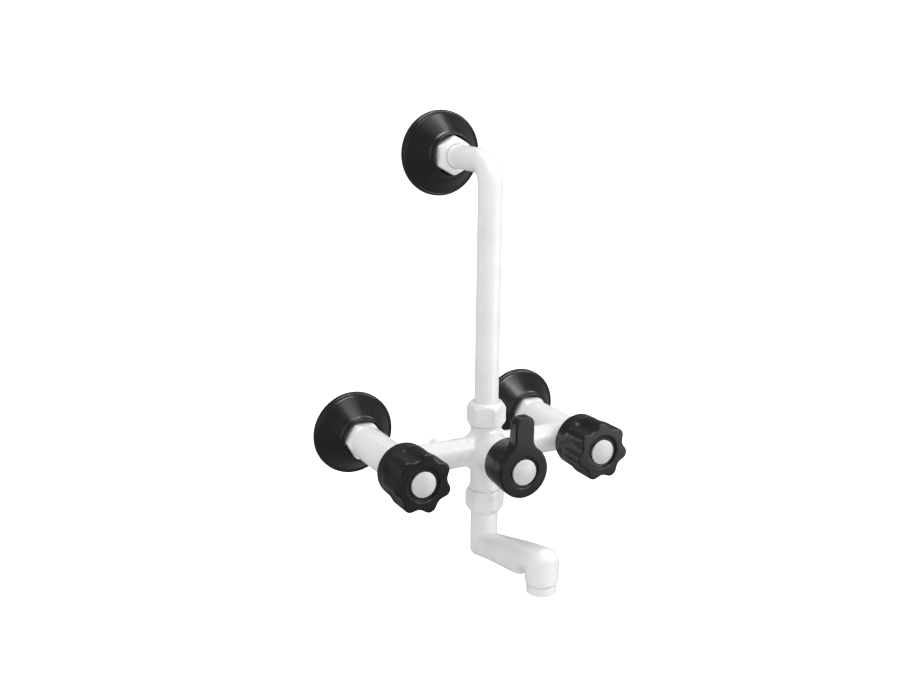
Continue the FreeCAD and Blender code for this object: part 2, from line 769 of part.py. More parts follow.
def riser_pipe():
    """Upright pipe that turns back to the wall on one bend."""
    bottom = neck_top + union_washer_thickness
    bend_start = top_outlet_height - riser_bend_r
    end_out = spigot_end_out + union_washer_thickness
    half = riser_bend_r * (1 - math.sqrt(0.5))
    low = Vector(0, -column_out, bottom)
    first = Vector(0, -column_out, bend_start)
    middle = Vector(0, -column_out + half, top_outlet_height - half)
    last = Vector(0, -column_out + riser_bend_r, top_outlet_height)
    back = Vector(0, -end_out, top_outlet_height)
    path = Part.Wire([
        Part.LineSegment(low, first).toShape(),
        Part.Arc(first, middle, last).toShape(),
        Part.LineSegment(last, back).toShape(),
    ])

    def swept(diameter):
        circle = Part.Wire([Part.makeCircle(diameter / 2, low, Vector(0, 0, 1))])
        return path.makePipeShell([circle], True, False)

    return swept(riser_d).cut(swept(riser_bore_d))


def bonded_collar(start, end, at, direction):
    return tube(start, end, collar_d, riser_d, at, direction)


# Spout

def spout_axis_point(share):
    """Point of the rising run's axis, from the elbow (0) to the nozzle (1)."""
    return Vector(0, -column_out - spout_reach * share, -spout_elbow_down + spout_rise * share)


def mitred_elbow(elbow, run, top_up):
    """Down tube and run of one diameter that meet on a mitre, with the outer corner cut back to a round."""
    up = Vector(0, 0, 1)
    ahead = Vector(run).normalize()
    across = (up - ahead).normalize()
    outward = (up + ahead).normalize() * -1
    tube_r = spout_tube_d / 2
    spare = 2 * spout_tube_d
    room = 2 * run.Length
    half = up.getAngle(ahead) / 2
    reach = tube_r / math.sin(half) - spout_corner_r * (1 / math.sin(half) - 1)
    down = Part.makeCylinder(tube_r, top_up - elbow.z + spare, elbow - up * spare, up)
    along = Part.makeCylinder(tube_r, spout_flare_start + spare, elbow - ahead * spare, ahead)
    both = joined([
        down.common(Part.makeCylinder(room, room, elbow, across)),
        along.common(Part.makeCylinder(room, room, elbow, across * -1)),
    ])
    corner = Part.makeCylinder(tube_r, spare, elbow, outward)
    return both.cut(corner.cut(Part.makeSphere(reach, elbow)))


def spout_head(elbow, run, nose):
    """Flared and then straight part of the run, with a round end over the nozzle and a heel cut below."""
    ahead = Vector(run).normalize()
    flare_start = spout_flare_start - 1
    flare_length = spout_flare_end - flare_start
    head_r = spout_head_d / 2
    head = joined([
        Part.makeCone(spout_tube_d / 2, head_r, flare_length, elbow + ahead * flare_start, run),
        Part.makeCylinder(head_r, run.Length - spout_flare_end, elbow + ahead * spout_flare_end, run),
        Part.makeSphere(head_r, nose),
    ])
    share = spout_heel_reach / spout_reach
    heel = spout_axis_point(share) - Vector(0, 0, run.Length / spout_reach * head_r)
    below = Vector(0, -spout_heel_slope, -1)
    return head.cut(Part.makeCylinder(2 * spout_reach, spout_reach, heel, below))


def spout():
    column = (0, -column_out, 0)
    nozzle = (0, -column_out - spout_reach, 0)
    elbow = spout_axis_point(0)
    nose = spout_axis_point(1)
    run = nose - elbow
    nozzle_r = nozzle_d / 2
    shoulder = spout_nut_bottom - face_gap
    neck_end = neck_bottom + 9.0
    bottom = -nozzle_bottom_down
    outside = joined([
        mitred_elbow(elbow, run, shoulder),
        rod(shoulder - 1, neck_end, spout_neck_d, column, UP),
        spout_head(elbow, run, nose),
        turned([(bottom, 0), (bottom, nozzle_r - nozzle_chamfer[1]), (bottom + nozzle_chamfer[0], nozzle_r),
                (nose.z, nozzle_r), (nose.z, 0)], nozzle, UP),
    ])
    bore_r = spout_bore_d / 2
    inside = joined([
        rod(-spout_elbow_down, neck_end + 1, spout_bore_d, column, UP),
        Part.makeSphere(bore_r, elbow),
        Part.makeCylinder(bore_r, run.Length, elbow, run),
        Part.makeSphere(bore_r, nose),
        rod(bottom - 1, nose.z, spout_bore_d, nozzle, UP),
    ])
    thread_top = bottom + aerator_thread_length + aerator_washer_thickness
    body = outside.cut(inside)
    body = body.cut(rod(bottom - 1, thread_top, aerator_thread_d + 2 * screw_clearance, nozzle, UP))
    for position in spout_ring_places():
        body = body.cut(tube(position - 1.25, position + 1.25, spout_neck_d + 1,
                             spout_neck_d - 2 * spout_seal_section, column, UP))
    groove_top = neck_bottom - face_gap
    return body.cut(tube(groove_top - snap_ring_width, groove_top, spout_neck_d + 1,
                         spout_neck_d - 2 * snap_ring_groove_depth, column, UP))


def spout_ring_places():
    return [neck_bottom + 2.6, neck_bottom + 6.2]


def spout_rings():
    column = (0, -column_out, 0)
    rings = [ring(p, spout_neck_d - 2 * spout_seal_section, spout_seal_section, column, UP)
             for p in spout_ring_places()]
    return Part.makeCompound(rings)


def aerator_ring():
    nozzle = (0, -column_out - spout_reach, 0)
    top = -nozzle_bottom_down
    bottom = top - aerator_height
    r = aerator_d / 2
    thread_r = aerator_thread_d / 2
    bore_r = thread_r - aerator_wall
    return turned([
        (bottom, bore_r - aerator_lip, 0.3), (bottom, r, 1.4), (top - face_gap, r, 0.4),
        (top - face_gap, thread_r), (top + aerator_thread_length, thread_r),
        (top + aerator_thread_length, bore_r), (bottom + 3.2, bore_r), (bottom + 3.2, bore_r - aerator_lip),
    ], nozzle, UP)


def aerator_insert():
    """Mesh cartridge: a rim and a plate with rings of small holes."""
    nozzle = (0, -column_out - spout_reach, 0)
    bottom = -nozzle_bottom_down - aerator_height + 3.2 + 0.05
    outer = aerator_thread_d - 2 * aerator_wall - 0.2
    plate = rod(bottom, bottom + 1.0, outer, nozzle, UP)
    for k in range(aerator_mesh_rings + 1):
        count = max(1, 6 * k)
        for j in range(count):
            angle = 2 * math.pi * j / count
            spot = (nozzle[0] + k * aerator_mesh_pitch * math.cos(angle) * 0.92,
                    nozzle[1] + k * aerator_mesh_pitch * math.sin(angle) * 0.92, 0)
            plate = plate.cut(rod(bottom - 1, bottom + 2, aerator_mesh_hole_d, spot, UP))
    rim = tube(bottom, bottom + aerator_insert_height, outer, outer - 1.6, nozzle, UP)
    return plate.fuse(rim).removeSplitter()


def aerator_washer():
    nozzle = (0, -column_out - spout_reach, 0)
    bottom = -nozzle_bottom_down + aerator_thread_length
    return tube(bottom, bottom + aerator_washer_thickness, aerator_thread_d - 0.4, spout_bore_d + 1,
                nozzle, UP)


def build():
    """Every piece of the tap, by node name."""
    pieces = {}
    top = (0, 0, top_outlet_height)
    column = (0, -column_out, 0)
    snap_start = nut_start_out + nut_lip + face_gap
    snap_inner = leg_tube_d - 2 * snap_ring_groove_depth
    for side, x in arm_axes.items():
        at = (x, 0, 0)
        pieces[side + "_wall_flange"] = wall_flange(at)
        pieces[side + "_union_leg"] = union_leg(at)
        pieces[side + "_union_nut"] = inlet_union_nut(at)
        pieces[side + "_union_snap_ring"] = snap_ring(snap_start, collar_d, snap_inner, at)
        pieces[side + "_union_washer"] = tube(leg_end_out, spigot_end_out, union_washer_d, leg_bore_d + 1, at)
        pieces[side + "_seat_washer"] = seat_washer(at)
        pieces[side + "_washer_screw"] = washer_screw(at)
        pieces[side + "_jumper"] = jumper(at)
        pieces[side + "_bonnet"] = bonnet(at)
        pieces[side + "_bonnet_washer"] = bonnet_washer(at)
        pieces[side + "_spindle"] = spindle(at)
        pieces[side + "_spindle_ring"] = spindle_ring(at)
        pieces[side + "_gland_nut"] = gland_nut(at)
        pieces[side + "_knob"] = knob(at)
        cap_seat = knob_start_out + knob_length - knob_dish_depth
        pieces[side + "_knob_screw"] = drive_screw(well_floor(cap_seat), at)
        pieces[side + "_knob_cap"] = domed_cap(cap_seat, cap_d, at)
    pieces["top_wall_flange"] = wall_flange(top)
    pieces["top_nipple"] = top_nipple(top)
    pieces["top_union_nut"] = top_union_nut(top)
    washer_end = spigot_end_out + union_washer_thickness
    pieces["top_union_washer"] = tube(spigot_end_out, washer_end, union_washer_d, riser_bore_d, top)
    pieces["mixer_body"] = mixer_body()
    pieces["riser_pipe"] = riser_pipe()
    pieces["riser_top_collar"] = bonded_collar(washer_end, nut_end_out - nut_lip - face_gap, top, OUT)
    riser_seat = neck_top + union_washer_thickness
    pieces["riser_washer"] = tube(neck_top, riser_seat, union_washer_d, riser_bore_d, column, UP)
    riser_lip = riser_nut_bottom + nut_length - nut_lip
    pieces["riser_bottom_collar"] = bonded_collar(riser_seat, riser_lip - face_gap, column, UP)
    pieces["riser_nut"] = hexagon_nut(riser_nut_bottom, riser_nut_bottom + nut_length, nut_across_flats, [
        (riser_nut_bottom - 1, riser_nut_bottom + nut_length + 1, lip_hole_d),
        (riser_nut_bottom - 1, riser_lip, nut_bore_d),
    ], column, UP, start_chamfer=nut_mouth_chamfer, end_chamfer=nut_lip_chamfer)
    pieces["spout"] = spout()
    pieces["spout_nut"] = hexagon_nut(spout_nut_bottom, spout_nut_top, nut_across_flats, [
        (spout_nut_bottom - 1, spout_nut_top + 1, spout_neck_d + 2 * running_clearance + 1.0),
        (spout_nut_bottom + nut_lip, spout_nut_top + 1, nut_bore_d),
    ], column, UP, start_chamfer=nut_lip_chamfer, end_chamfer=nut_mouth_chamfer)
    ring_start = neck_bottom - face_gap - snap_ring_width
    spout_groove_d = spout_neck_d - 2 * snap_ring_groove_depth
    pieces["spout_snap_ring"] = snap_ring(ring_start, collar_d, spout_groove_d, column, UP)
    pieces["spout_rings"] = spout_rings()
    pieces["aerator_ring"] = aerator_ring()
    pieces["aerator_insert"] = aerator_insert()
    pieces["aerator_washer"] = aerator_washer()
    pieces["diverter_rotor"] = diverter_rotor()
    pieces["diverter_rotor_seal"] = rotor_seal()
    pieces["diverter_rings"] = diverter_rings()
    pieces["diverter_bonnet"] = diverter_bonnet()
    pieces["diverter_washer"] = diverter_washer()
    pieces["diverter_knob"] = diverter_knob()
    lever_cap_seat = lever_disc_start_out + lever_disc_thickness - lever_dish_depth
    pieces["diverter_screw"] = drive_screw(well_floor(lever_cap_seat), (0, 0, 0))
    pieces["diverter_cap"] = domed_cap(lever_cap_seat, lever_cap_d, (0, 0, 0))
    return pieces


os.makedirs("parts", exist_ok=True)
for name, shape in build().items():
    shape.exportStep("parts/" + name + ".step")
    print(name, shape.isValid(), len(shape.Solids), round(shape.Volume, 1))
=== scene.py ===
"""Wall-mounted two-handle mixer tap with a riser bend and a swivel spout: the visual model.

White moulded body, riser and spout, glossy black knobs and wall flanges, silver caps. Sizes in the
classes are millimetres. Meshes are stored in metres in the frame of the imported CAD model: the
origin lies in the wall plane midway between the inlets, +X runs along the wall, +Y goes into the
wall and +Z is up. "Out" is a distance from the wall plane towards the front, along -Y.
"""
import json
import logging
import math
from dataclasses import dataclass
from enum import Enum
from typing import Any, Iterable, Mapping, Sequence

import bmesh
import bpy
import numpy as np
from mathutils import Matrix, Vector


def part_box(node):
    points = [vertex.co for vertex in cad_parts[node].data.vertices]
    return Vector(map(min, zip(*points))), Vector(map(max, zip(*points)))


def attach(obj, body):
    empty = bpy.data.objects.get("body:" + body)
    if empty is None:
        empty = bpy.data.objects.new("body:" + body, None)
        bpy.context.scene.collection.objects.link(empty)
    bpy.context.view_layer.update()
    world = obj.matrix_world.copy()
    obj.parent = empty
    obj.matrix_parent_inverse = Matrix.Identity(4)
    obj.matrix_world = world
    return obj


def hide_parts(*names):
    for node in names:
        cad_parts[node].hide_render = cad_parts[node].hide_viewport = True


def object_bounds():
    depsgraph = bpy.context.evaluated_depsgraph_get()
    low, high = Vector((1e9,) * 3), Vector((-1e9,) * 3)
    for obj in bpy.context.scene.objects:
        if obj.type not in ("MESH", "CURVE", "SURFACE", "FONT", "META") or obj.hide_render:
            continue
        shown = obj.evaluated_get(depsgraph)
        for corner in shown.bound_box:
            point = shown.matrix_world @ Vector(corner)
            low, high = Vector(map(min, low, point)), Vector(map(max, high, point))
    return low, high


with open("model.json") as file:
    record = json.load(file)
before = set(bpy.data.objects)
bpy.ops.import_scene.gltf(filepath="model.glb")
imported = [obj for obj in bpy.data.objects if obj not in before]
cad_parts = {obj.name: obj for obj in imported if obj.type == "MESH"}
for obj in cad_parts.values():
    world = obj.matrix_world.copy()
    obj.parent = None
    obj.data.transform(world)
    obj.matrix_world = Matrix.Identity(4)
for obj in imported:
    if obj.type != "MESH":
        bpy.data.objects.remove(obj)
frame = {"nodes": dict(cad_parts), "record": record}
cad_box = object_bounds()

log = logging.getLogger("mixer_tap")

MM = 0.001
TURN = 2.0 * math.pi
HALVINGS = 26
SMALL_ANGLE = 1e-6
MERGE_DISTANCE = 1e-6


class Axis(Enum):
    """Direction of the line that a turned piece goes round."""

    OUT = "out"
    UP = "up"


class Side(Enum):
    """The two valve sides of the tap."""

    LEFT = "left"
    RIGHT = "right"


@dataclass
class Patch:
    """A grid of points in millimetres, and whether its rows and its columns close on themselves."""

    points: np.ndarray
    rows_close: bool = False
    columns_close: bool = True


# Surfaces


def unit(vectors: np.ndarray) -> np.ndarray:
    """Vectors scaled to length one along the last axis."""
    return vectors / np.maximum(np.linalg.norm(vectors, axis=-1, keepdims=True), 1e-12)


def smoothstep(low: float, high: float, value: np.ndarray) -> np.ndarray:
    """3 t^2 - 2 t^3, with t running from 0 at low to 1 at high."""
    share = np.clip((value - low) / (high - low), 0.0, 1.0)
    return share * share * (3.0 - 2.0 * share)


def soft_min(first: np.ndarray, second: np.ndarray, width: float) -> np.ndarray:
    """Smaller of two values, with the crease between them rounded over a width.

    The formula is min(a, b) - h^2 / (4 w), where h = max(w - |a - b|, 0).
    """
    overlap = np.maximum(width - np.abs(first - second), 0.0)
    return np.minimum(first, second) - overlap * overlap / (4.0 * width)


def rounded_profile(corners: Sequence[tuple[float, ...]], closed: bool = True, steps: int = 6) -> np.ndarray:
    """Outline through corners, each with an optional radius that becomes a tangent arc.

    The arc's centre lies on the corner's bisector, at radius / sin(half the corner's angle), and
    the arc runs between the two tangent points by spherical interpolation about that centre.

    Args:
        corners: (a, b) or (a, b, radius) for each corner.
        closed: Whether the last corner joins the first.
        steps: Pieces per arc.

    Returns:
        Points of the outline, one row of (a, b) each.
    """
    here = np.array([corner[:2] for corner in corners], dtype=float)
    radius = np.array([corner[2] if len(corner) > 2 else 0.0 for corner in corners])
    if not closed:
        radius[[0, -1]] = 0.0
    back = unit(np.roll(here, 1, axis=0) - here)
    ahead = unit(np.roll(here, -1, axis=0) - here)
    half = np.maximum(0.5 * np.arccos(np.clip((back * ahead).sum(axis=1), -1.0, 1.0)), SMALL_ANGLE)
    reach = radius / np.tan(half)
    centre = here + unit(back + ahead) * (radius / np.sin(half))[:, None]
    first = here + back * reach[:, None] - centre
    last = here + ahead * reach[:, None] - centre
    sweep = np.maximum(math.pi - 2.0 * half, SMALL_ANGLE)[:, None, None]
    share = np.linspace(0.0, 1.0, steps + 1)[None, :, None]
    arcs = (np.sin((1.0 - share) * sweep) * first[:, None]
            + np.sin(share * sweep) * last[:, None]) / np.sin(sweep)
    points = (centre[:, None] + arcs).reshape(-1, 2)
    keep = np.linalg.norm(points - np.roll(points, 1, axis=0), axis=1) > 1e-5
    keep[0] = True
    return points[keep]


def around(along: np.ndarray, radius: np.ndarray, turn: np.ndarray, centre: Sequence[float],
           axis: Axis) -> np.ndarray:
    """Points at a distance along an axis and a radius and angle about it.

    For OUT the point is (cx + r cos t, -along, cz + r sin t). For UP it is
    (cx + r cos t, cy + r sin t, along).

    Args:
        along: Distance along the axis, shaped (rows, 1) or (rows, columns).
        radius: Radius, shaped as along or wider.
        turn: Angle of each column.
        centre: Point on the axis.
        axis: Direction of the axis.

    Returns:
        Grid of points shaped (rows, columns, 3).
    """
    across = radius * np.cos(turn)
    rise = radius * np.sin(turn)
    run = np.broadcast_to(along, across.shape)
    if axis is Axis.OUT:
        return np.stack([centre[0] + across, -run, centre[2] + rise], axis=-1)
    return np.stack([centre[0] + across, centre[1] + rise, run], axis=-1)


def circle_points(turn: np.ndarray) -> np.ndarray:
    """Points (cos t, sin t) of the unit circle."""
    return np.stack([np.cos(turn), np.sin(turn)], axis=-1)


def ring_grids(profile: np.ndarray, columns: int) -> tuple[np.ndarray, np.ndarray]:
    """Profile of (along, radius) repeated for every column, as one grid each."""
    return np.repeat(profile[:, :1], columns, axis=1), np.repeat(profile[:, 1:], columns, axis=1)


def lathe(profile: np.ndarray, centre: Sequence[float], axis: Axis = Axis.OUT, columns: int = 160,
          rows_close: bool = True) -> Patch:
    """Surface of revolution of a profile of (distance along the axis, radius)."""
    turn = np.arange(columns) * TURN / columns
    return Patch(around(*ring_grids(profile, columns), turn, centre, axis), rows_close)


def piece(name: str, patches: Iterable[Patch], crease: float = 38.0) -> bpy.types.Object:
    """One object from grids of points, with its doubles merged and its faces turned outwards.

    Args:
        name: Name of the object.
        patches: Closed surfaces that make up the piece.
        crease: Angle in degrees past which an edge is shaded sharp.

    Returns:
        The object, at the origin and with its place in its mesh.
    """
    points: list[np.ndarray] = []
    faces: list[np.ndarray] = []
    offset = 0
    for patch in patches:
        rows, columns = patch.points.shape[:2]
        row = np.arange(rows if patch.rows_close else rows - 1)[:, None]
        column = np.arange(columns if patch.columns_close else columns - 1)[None, :]
        next_row = (row + 1) % rows
        next_column = (column + 1) % columns
        quads = [row * columns + column, row * columns + next_column,
                 next_row * columns + next_column, next_row * columns + column]
        faces.append(np.stack(quads, axis=-1).reshape(-1, 4) + offset)
        points.append(patch.points.reshape(-1, 3) * MM)
        offset += rows * columns
    mesh = bpy.data.meshes.new(name)
    mesh.from_pydata(np.concatenate(points).tolist(), [], np.concatenate(faces).tolist())
    work = bmesh.new()
    work.from_mesh(mesh)
    bmesh.ops.remove_doubles(work, verts=work.verts, dist=MERGE_DISTANCE)
    bmesh.ops.recalc_face_normals(work, faces=work.faces)
    work.to_mesh(mesh)
    work.free()
    mesh.polygons.foreach_set("use_smooth", np.ones(len(mesh.polygons), dtype=bool))
    mesh.set_sharp_from_angle(angle=math.radians(crease))
    made = bpy.data.objects.new(name, mesh)
    bpy.context.scene.collection.objects.link(made)
    return made


def node_centre(node: str) -> tuple[float, float, float]:
    """Middle of a CAD node's box, in millimetres."""
    low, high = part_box(node)
    return tuple((float(a) + float(b)) / 2.0 / MM for a, b in zip(low, high))


def node_span(node: str, axis: Axis) -> tuple[float, float]:
    """Where a CAD node's box starts and ends along an axis.

    Args:
        node: Name of the node.
        axis: Direction to measure in.

    Returns:
        The least and the greatest distance, in millimetres.
    """
    low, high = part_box(node)
    if axis is Axis.OUT:
        return -float(high[1]) / MM, -float(low[1]) / MM
    return float(low[2]) / MM, float(high[2]) / MM


# Finishes


def linear(code: str) -> tuple[float, float, float, float]:
    """Linear colour, with an alpha of one, of an sRGB hex value.

    Args:
        code: The value, such as "F1F1F1".

    Returns:
        Red, green, blue and alpha.
    """
    channels = np.array([int(code[k:k + 2], 16) for k in (0, 2, 4)]) / 255.0
    straight = np.where(channels <= 0.04045, channels / 12.92, ((channels + 0.055) / 1.055) ** 2.4)
    return (*(float(value) for value in straight), 1.0)


def add_node(tree: bpy.types.NodeTree, kind: str, settings: Mapping[str, Any] | None = None,
             inputs: Mapping[str | int, Any] | None = None) -> bpy.types.Node:
    """Add one node, with its properties, constants and links.

    Args:
        tree: Node tree of the material.
        kind: Class name of the node.
        settings: Properties of the node itself.
        inputs: Constant or output socket for each named or numbered input.

    Returns:
        The new node.
    """
    node = tree.nodes.new(kind)
    for key, value in (settings or {}).items():
        setattr(node, key, value)
    for key, value in (inputs or {}).items():
        if isinstance(value, bpy.types.NodeSocket):
            tree.links.new(value, node.inputs[key])
        else:
            node.inputs[key].default_value = value
    return node


def fresh_material(name: str) -> tuple[bpy.types.Material, bpy.types.NodeTree, bpy.types.NodeSocket]:
    """Start a node material with nothing in it but Object coordinates.

    Args:
        name: Name of the material.

    Returns:
        The material, its node tree and the output socket of the coordinates.
    """
    material = bpy.data.materials.new(name)
    material.use_nodes = True
    tree = material.node_tree
    tree.nodes.clear()
    return material, tree, add_node(tree, "ShaderNodeTexCoord").outputs["Object"]


def fade(tree: bpy.types.NodeTree, pattern: bpy.types.NodeSocket, span: tuple[float, float],
         codes: tuple[str, str]) -> bpy.types.NodeSocket:
    """Colour that goes evenly from one to another while a pattern crosses a span of its values.

    Args:
        tree: Node tree of the material.
        pattern: Output socket of the pattern.
        span: Values of the pattern where the fade starts and ends.
        codes: First and last colour, as sRGB hex values.

    Returns:
        Output socket of the colour.
    """
    share = add_node(tree, "ShaderNodeMapRange", inputs={
        "Value": pattern, "From Min": span[0], "From Max": span[1]}).outputs["Result"]
    return add_node(tree, "ShaderNodeMix", {"data_type": "RGBA"}, {
        "Factor": share, 6: linear(codes[0]), 7: linear(codes[1])}).outputs[2]


def per_metre(size_mm: float) -> float:
    """Noise scale that gives a pattern features of a size in millimetres on Object coordinates."""
    return 1.0 / (size_mm * MM)


def wave_scale(period_mm: float) -> float:
    """Wave scale for rings a period apart: the node takes the sine of 20 scale x, so 2 pi / (20 p)."""
    return TURN / (20.0 * period_mm * MM)


@dataclass(frozen=True)
class MouldedPlastic:
    """Injection-moulded engineering plastic (PBT or ABS) from a polished steel mould.

    The eye sees a clear gloss over an even colour, a very fine orange peel where the melt cooled,
    slight cloudiness, and dull hairlines where hands and cleaning have rubbed it. The grain of the
    mould's polish and the hairlines are about 0.05 mm wide on the real thing, too fine to render,
    and are drawn coarser and shallow.
    """

    name: str
    colour: str
    shade: str
    worn: str
    roughness: float
    rough_spread: float
    coat: float
    ior: float = 1.52
    peel_mm: float = 2.4
    peel_height_mm: float = 0.006
    cloud_mm: float = 22.0
    cloud_span: tuple[float, float] = (0.30, 0.62)
    grain_mm: float = 0.35
    grain_height_mm: float = 0.0012
    hairline_mm: float = 0.7
    hairline_span: tuple[float, float] = (0.66, 0.86)
    wear: float = 0.05
    dulling: float = 0.03
    coat_roughness: float = 0.08
    translucent: float = 0.0
    scatter_mm: float = 2.0

    def build(self) -> bpy.types.Material:
        """Make the material.

        Returns:
            The material, which all pieces of the finish share.
        """
        material, tree, place = fresh_material(self.name)
        stretched = add_node(tree, "ShaderNodeMapping", inputs={
            "Vector": place, "Rotation": (0.4, 0.9, 0.2), "Scale": (1.0, 0.06, 0.35)}).outputs["Vector"]
        cloud, peel, grain, hair = (
            add_node(tree, "ShaderNodeTexNoise", inputs={
                "Vector": where, "Scale": per_metre(period), "Detail": detail, "Roughness": unevenness,
            }).outputs["Fac"]
            for where, period, detail, unevenness in (
                (place, self.cloud_mm, 3.0, 0.55), (place, self.peel_mm, 1.0, 0.5),
                (place, self.grain_mm, 2.0, 0.5), (stretched, self.hairline_mm, 4.0, 0.7)))
        rubbed = add_node(tree, "ShaderNodeMapRange", inputs={
            "Value": hair, "From Min": self.hairline_span[0],
            "From Max": self.hairline_span[1]}).outputs["Result"]
        base = fade(tree, cloud, self.cloud_span, (self.shade, self.colour))
        wear = add_node(tree, "ShaderNodeMath", {"operation": "MULTIPLY"}, {
            0: rubbed, 1: self.wear}).outputs["Value"]
        tinted = add_node(tree, "ShaderNodeMix", {"data_type": "RGBA"}, {
            "Factor": wear, 6: base, 7: linear(self.worn)}).outputs[2]
        polish = add_node(tree, "ShaderNodeMapRange", inputs={
            "Value": cloud, "From Min": 0.25, "From Max": 0.75, "To Min": self.roughness - self.rough_spread,
            "To Max": self.roughness + self.rough_spread}).outputs["Result"]
        rough = add_node(tree, "ShaderNodeMath", {"operation": "MULTIPLY_ADD", "use_clamp": True}, {
            0: rubbed, 1: self.dulling, 2: polish}).outputs["Value"]
        orange_peel = add_node(tree, "ShaderNodeBump", inputs={
            "Height": peel, "Strength": 1.0, "Distance": self.peel_height_mm * MM}).outputs["Normal"]
        normal = add_node(tree, "ShaderNodeBump", inputs={
            "Height": grain, "Strength": 1.0, "Distance": self.grain_height_mm * MM,
            "Normal": orange_peel}).outputs["Normal"]
        shader = add_node(tree, "ShaderNodeBsdfPrincipled", inputs={
            "Base Color": tinted, "Roughness": rough, "IOR": self.ior, "Coat Weight": self.coat,
            "Coat Roughness": self.coat_roughness, "Normal": normal,
            "Subsurface Weight": self.translucent, "Subsurface Scale": self.scatter_mm * MM,
            "Subsurface Radius": (1.0, 0.95, 0.85)})
        add_node(tree, "ShaderNodeOutputMaterial", inputs={"Surface": shader.outputs["BSDF"]})
        return material


@dataclass(frozen=True)
class TurnedMetal:
    """Metal turned on a lathe: fine rings across its axis over a slightly stained, satin metal.

    The tool's feed marks are about 0.1 mm apart and are drawn 3 mm apart, so that they show.
    """

    name: str
    colour: str
    stain: str
    roughness: float
    ring_mm: float = 3.14
    ring_height_mm: float = 0.004
    stain_mm: float = 6.0
    stain_span: tuple[float, float] = (0.34, 0.58)
    dulling: float = 0.14

    def build(self) -> bpy.types.Material:
        """Make the material.

        Returns:
            The material, which all pieces of the finish share.
        """
        material, tree, place = fresh_material(self.name)
        rings = add_node(tree, "ShaderNodeTexWave", {"bands_direction": "Y"}, {
            "Vector": place, "Scale": wave_scale(self.ring_mm), "Distortion": 0.6,
            "Detail": 2.0}).outputs["Fac"]
        stain = add_node(tree, "ShaderNodeTexNoise", inputs={
            "Vector": place, "Scale": per_metre(self.stain_mm), "Detail": 5.0,
            "Roughness": 0.6}).outputs["Fac"]
        base = fade(tree, stain, self.stain_span, (self.stain, self.colour))
        rough = add_node(tree, "ShaderNodeMapRange", inputs={
            "Value": stain, "From Min": 0.3, "From Max": 0.7, "To Min": self.roughness + self.dulling,
            "To Max": self.roughness}).outputs["Result"]
        normal = add_node(tree, "ShaderNodeBump", inputs={
            "Height": rings, "Strength": 1.0, "Distance": self.ring_height_mm * MM}).outputs["Normal"]
        shader = add_node(tree, "ShaderNodeBsdfPrincipled", inputs={
            "Base Color": base, "Metallic": 1.0, "Roughness": rough, "Normal": normal})
        add_node(tree, "ShaderNodeOutputMaterial", inputs={"Surface": shader.outputs["BSDF"]})
        return material


@dataclass(frozen=True)
class SatinSilverCap:
    """Vacuum-metallised plastic disc with a satin lacquer.

    It reads as pale silver with faint clouds and a few specks. Its spun rings are about 0.1 mm apart
    and are drawn 3 mm apart, so that they show.
    """

    name: str = "vacuum_metallised_satin_cap"
    colour: str = "E2E4E3"
    shade: str = "D8DAD9"
    speck: str = "B8BAB9"
    roughness: float = 0.46
    cloud_mm: float = 7.0
    cloud_span: tuple[float, float] = (0.35, 0.60)
    speck_mm: float = 0.9
    ring_mm: float = 2.83
    ring_height_mm: float = 0.0025

    def build(self, centre: Sequence[float]) -> bpy.types.Material:
        """Make the material of one cap.

        Args:
            centre: Point in millimetres that its rings run round.

        Returns:
            The material.
        """
        material, tree, place = fresh_material(f"{self.name}_{round(centre[0])}")
        middle = add_node(tree, "ShaderNodeMapping", inputs={
            "Vector": place, "Location": (-centre[0] * MM, 0.0, -centre[2] * MM),
            "Scale": (1.0, 0.0, 1.0)}).outputs["Vector"]
        rings = add_node(tree, "ShaderNodeTexWave", {"wave_type": "RINGS", "rings_direction": "SPHERICAL"}, {
            "Vector": middle, "Scale": wave_scale(self.ring_mm), "Distortion": 0.2}).outputs["Fac"]
        cloud, specks = (
            add_node(tree, "ShaderNodeTexNoise", inputs={
                "Vector": place, "Scale": per_metre(period), "Detail": detail}).outputs["Fac"]
            for period, detail in ((self.cloud_mm, 4.0), (self.speck_mm, 2.0)))
        dark = add_node(tree, "ShaderNodeMapRange", inputs={
            "Value": specks, "From Min": 0.66, "From Max": 0.74, "To Max": 0.3}).outputs["Result"]
        base = fade(tree, cloud, self.cloud_span, (self.shade, self.colour))
        tinted = add_node(tree, "ShaderNodeMix", {"data_type": "RGBA"}, {
            "Factor": dark, 6: base, 7: linear(self.speck)}).outputs[2]
        rough = add_node(tree, "ShaderNodeMapRange", inputs={
            "Value": cloud, "From Min": 0.3, "From Max": 0.7, "To Min": self.roughness + 0.06,
            "To Max": self.roughness - 0.04}).outputs["Result"]
        normal = add_node(tree, "ShaderNodeBump", inputs={
            "Height": rings, "Strength": 1.0, "Distance": self.ring_height_mm * MM}).outputs["Normal"]
        shader = add_node(tree, "ShaderNodeBsdfPrincipled", inputs={
            "Base Color": tinted, "Metallic": 0.4, "Roughness": rough, "Normal": normal})
        add_node(tree, "ShaderNodeOutputMaterial", inputs={"Surface": shader.outputs["BSDF"]})
        return material


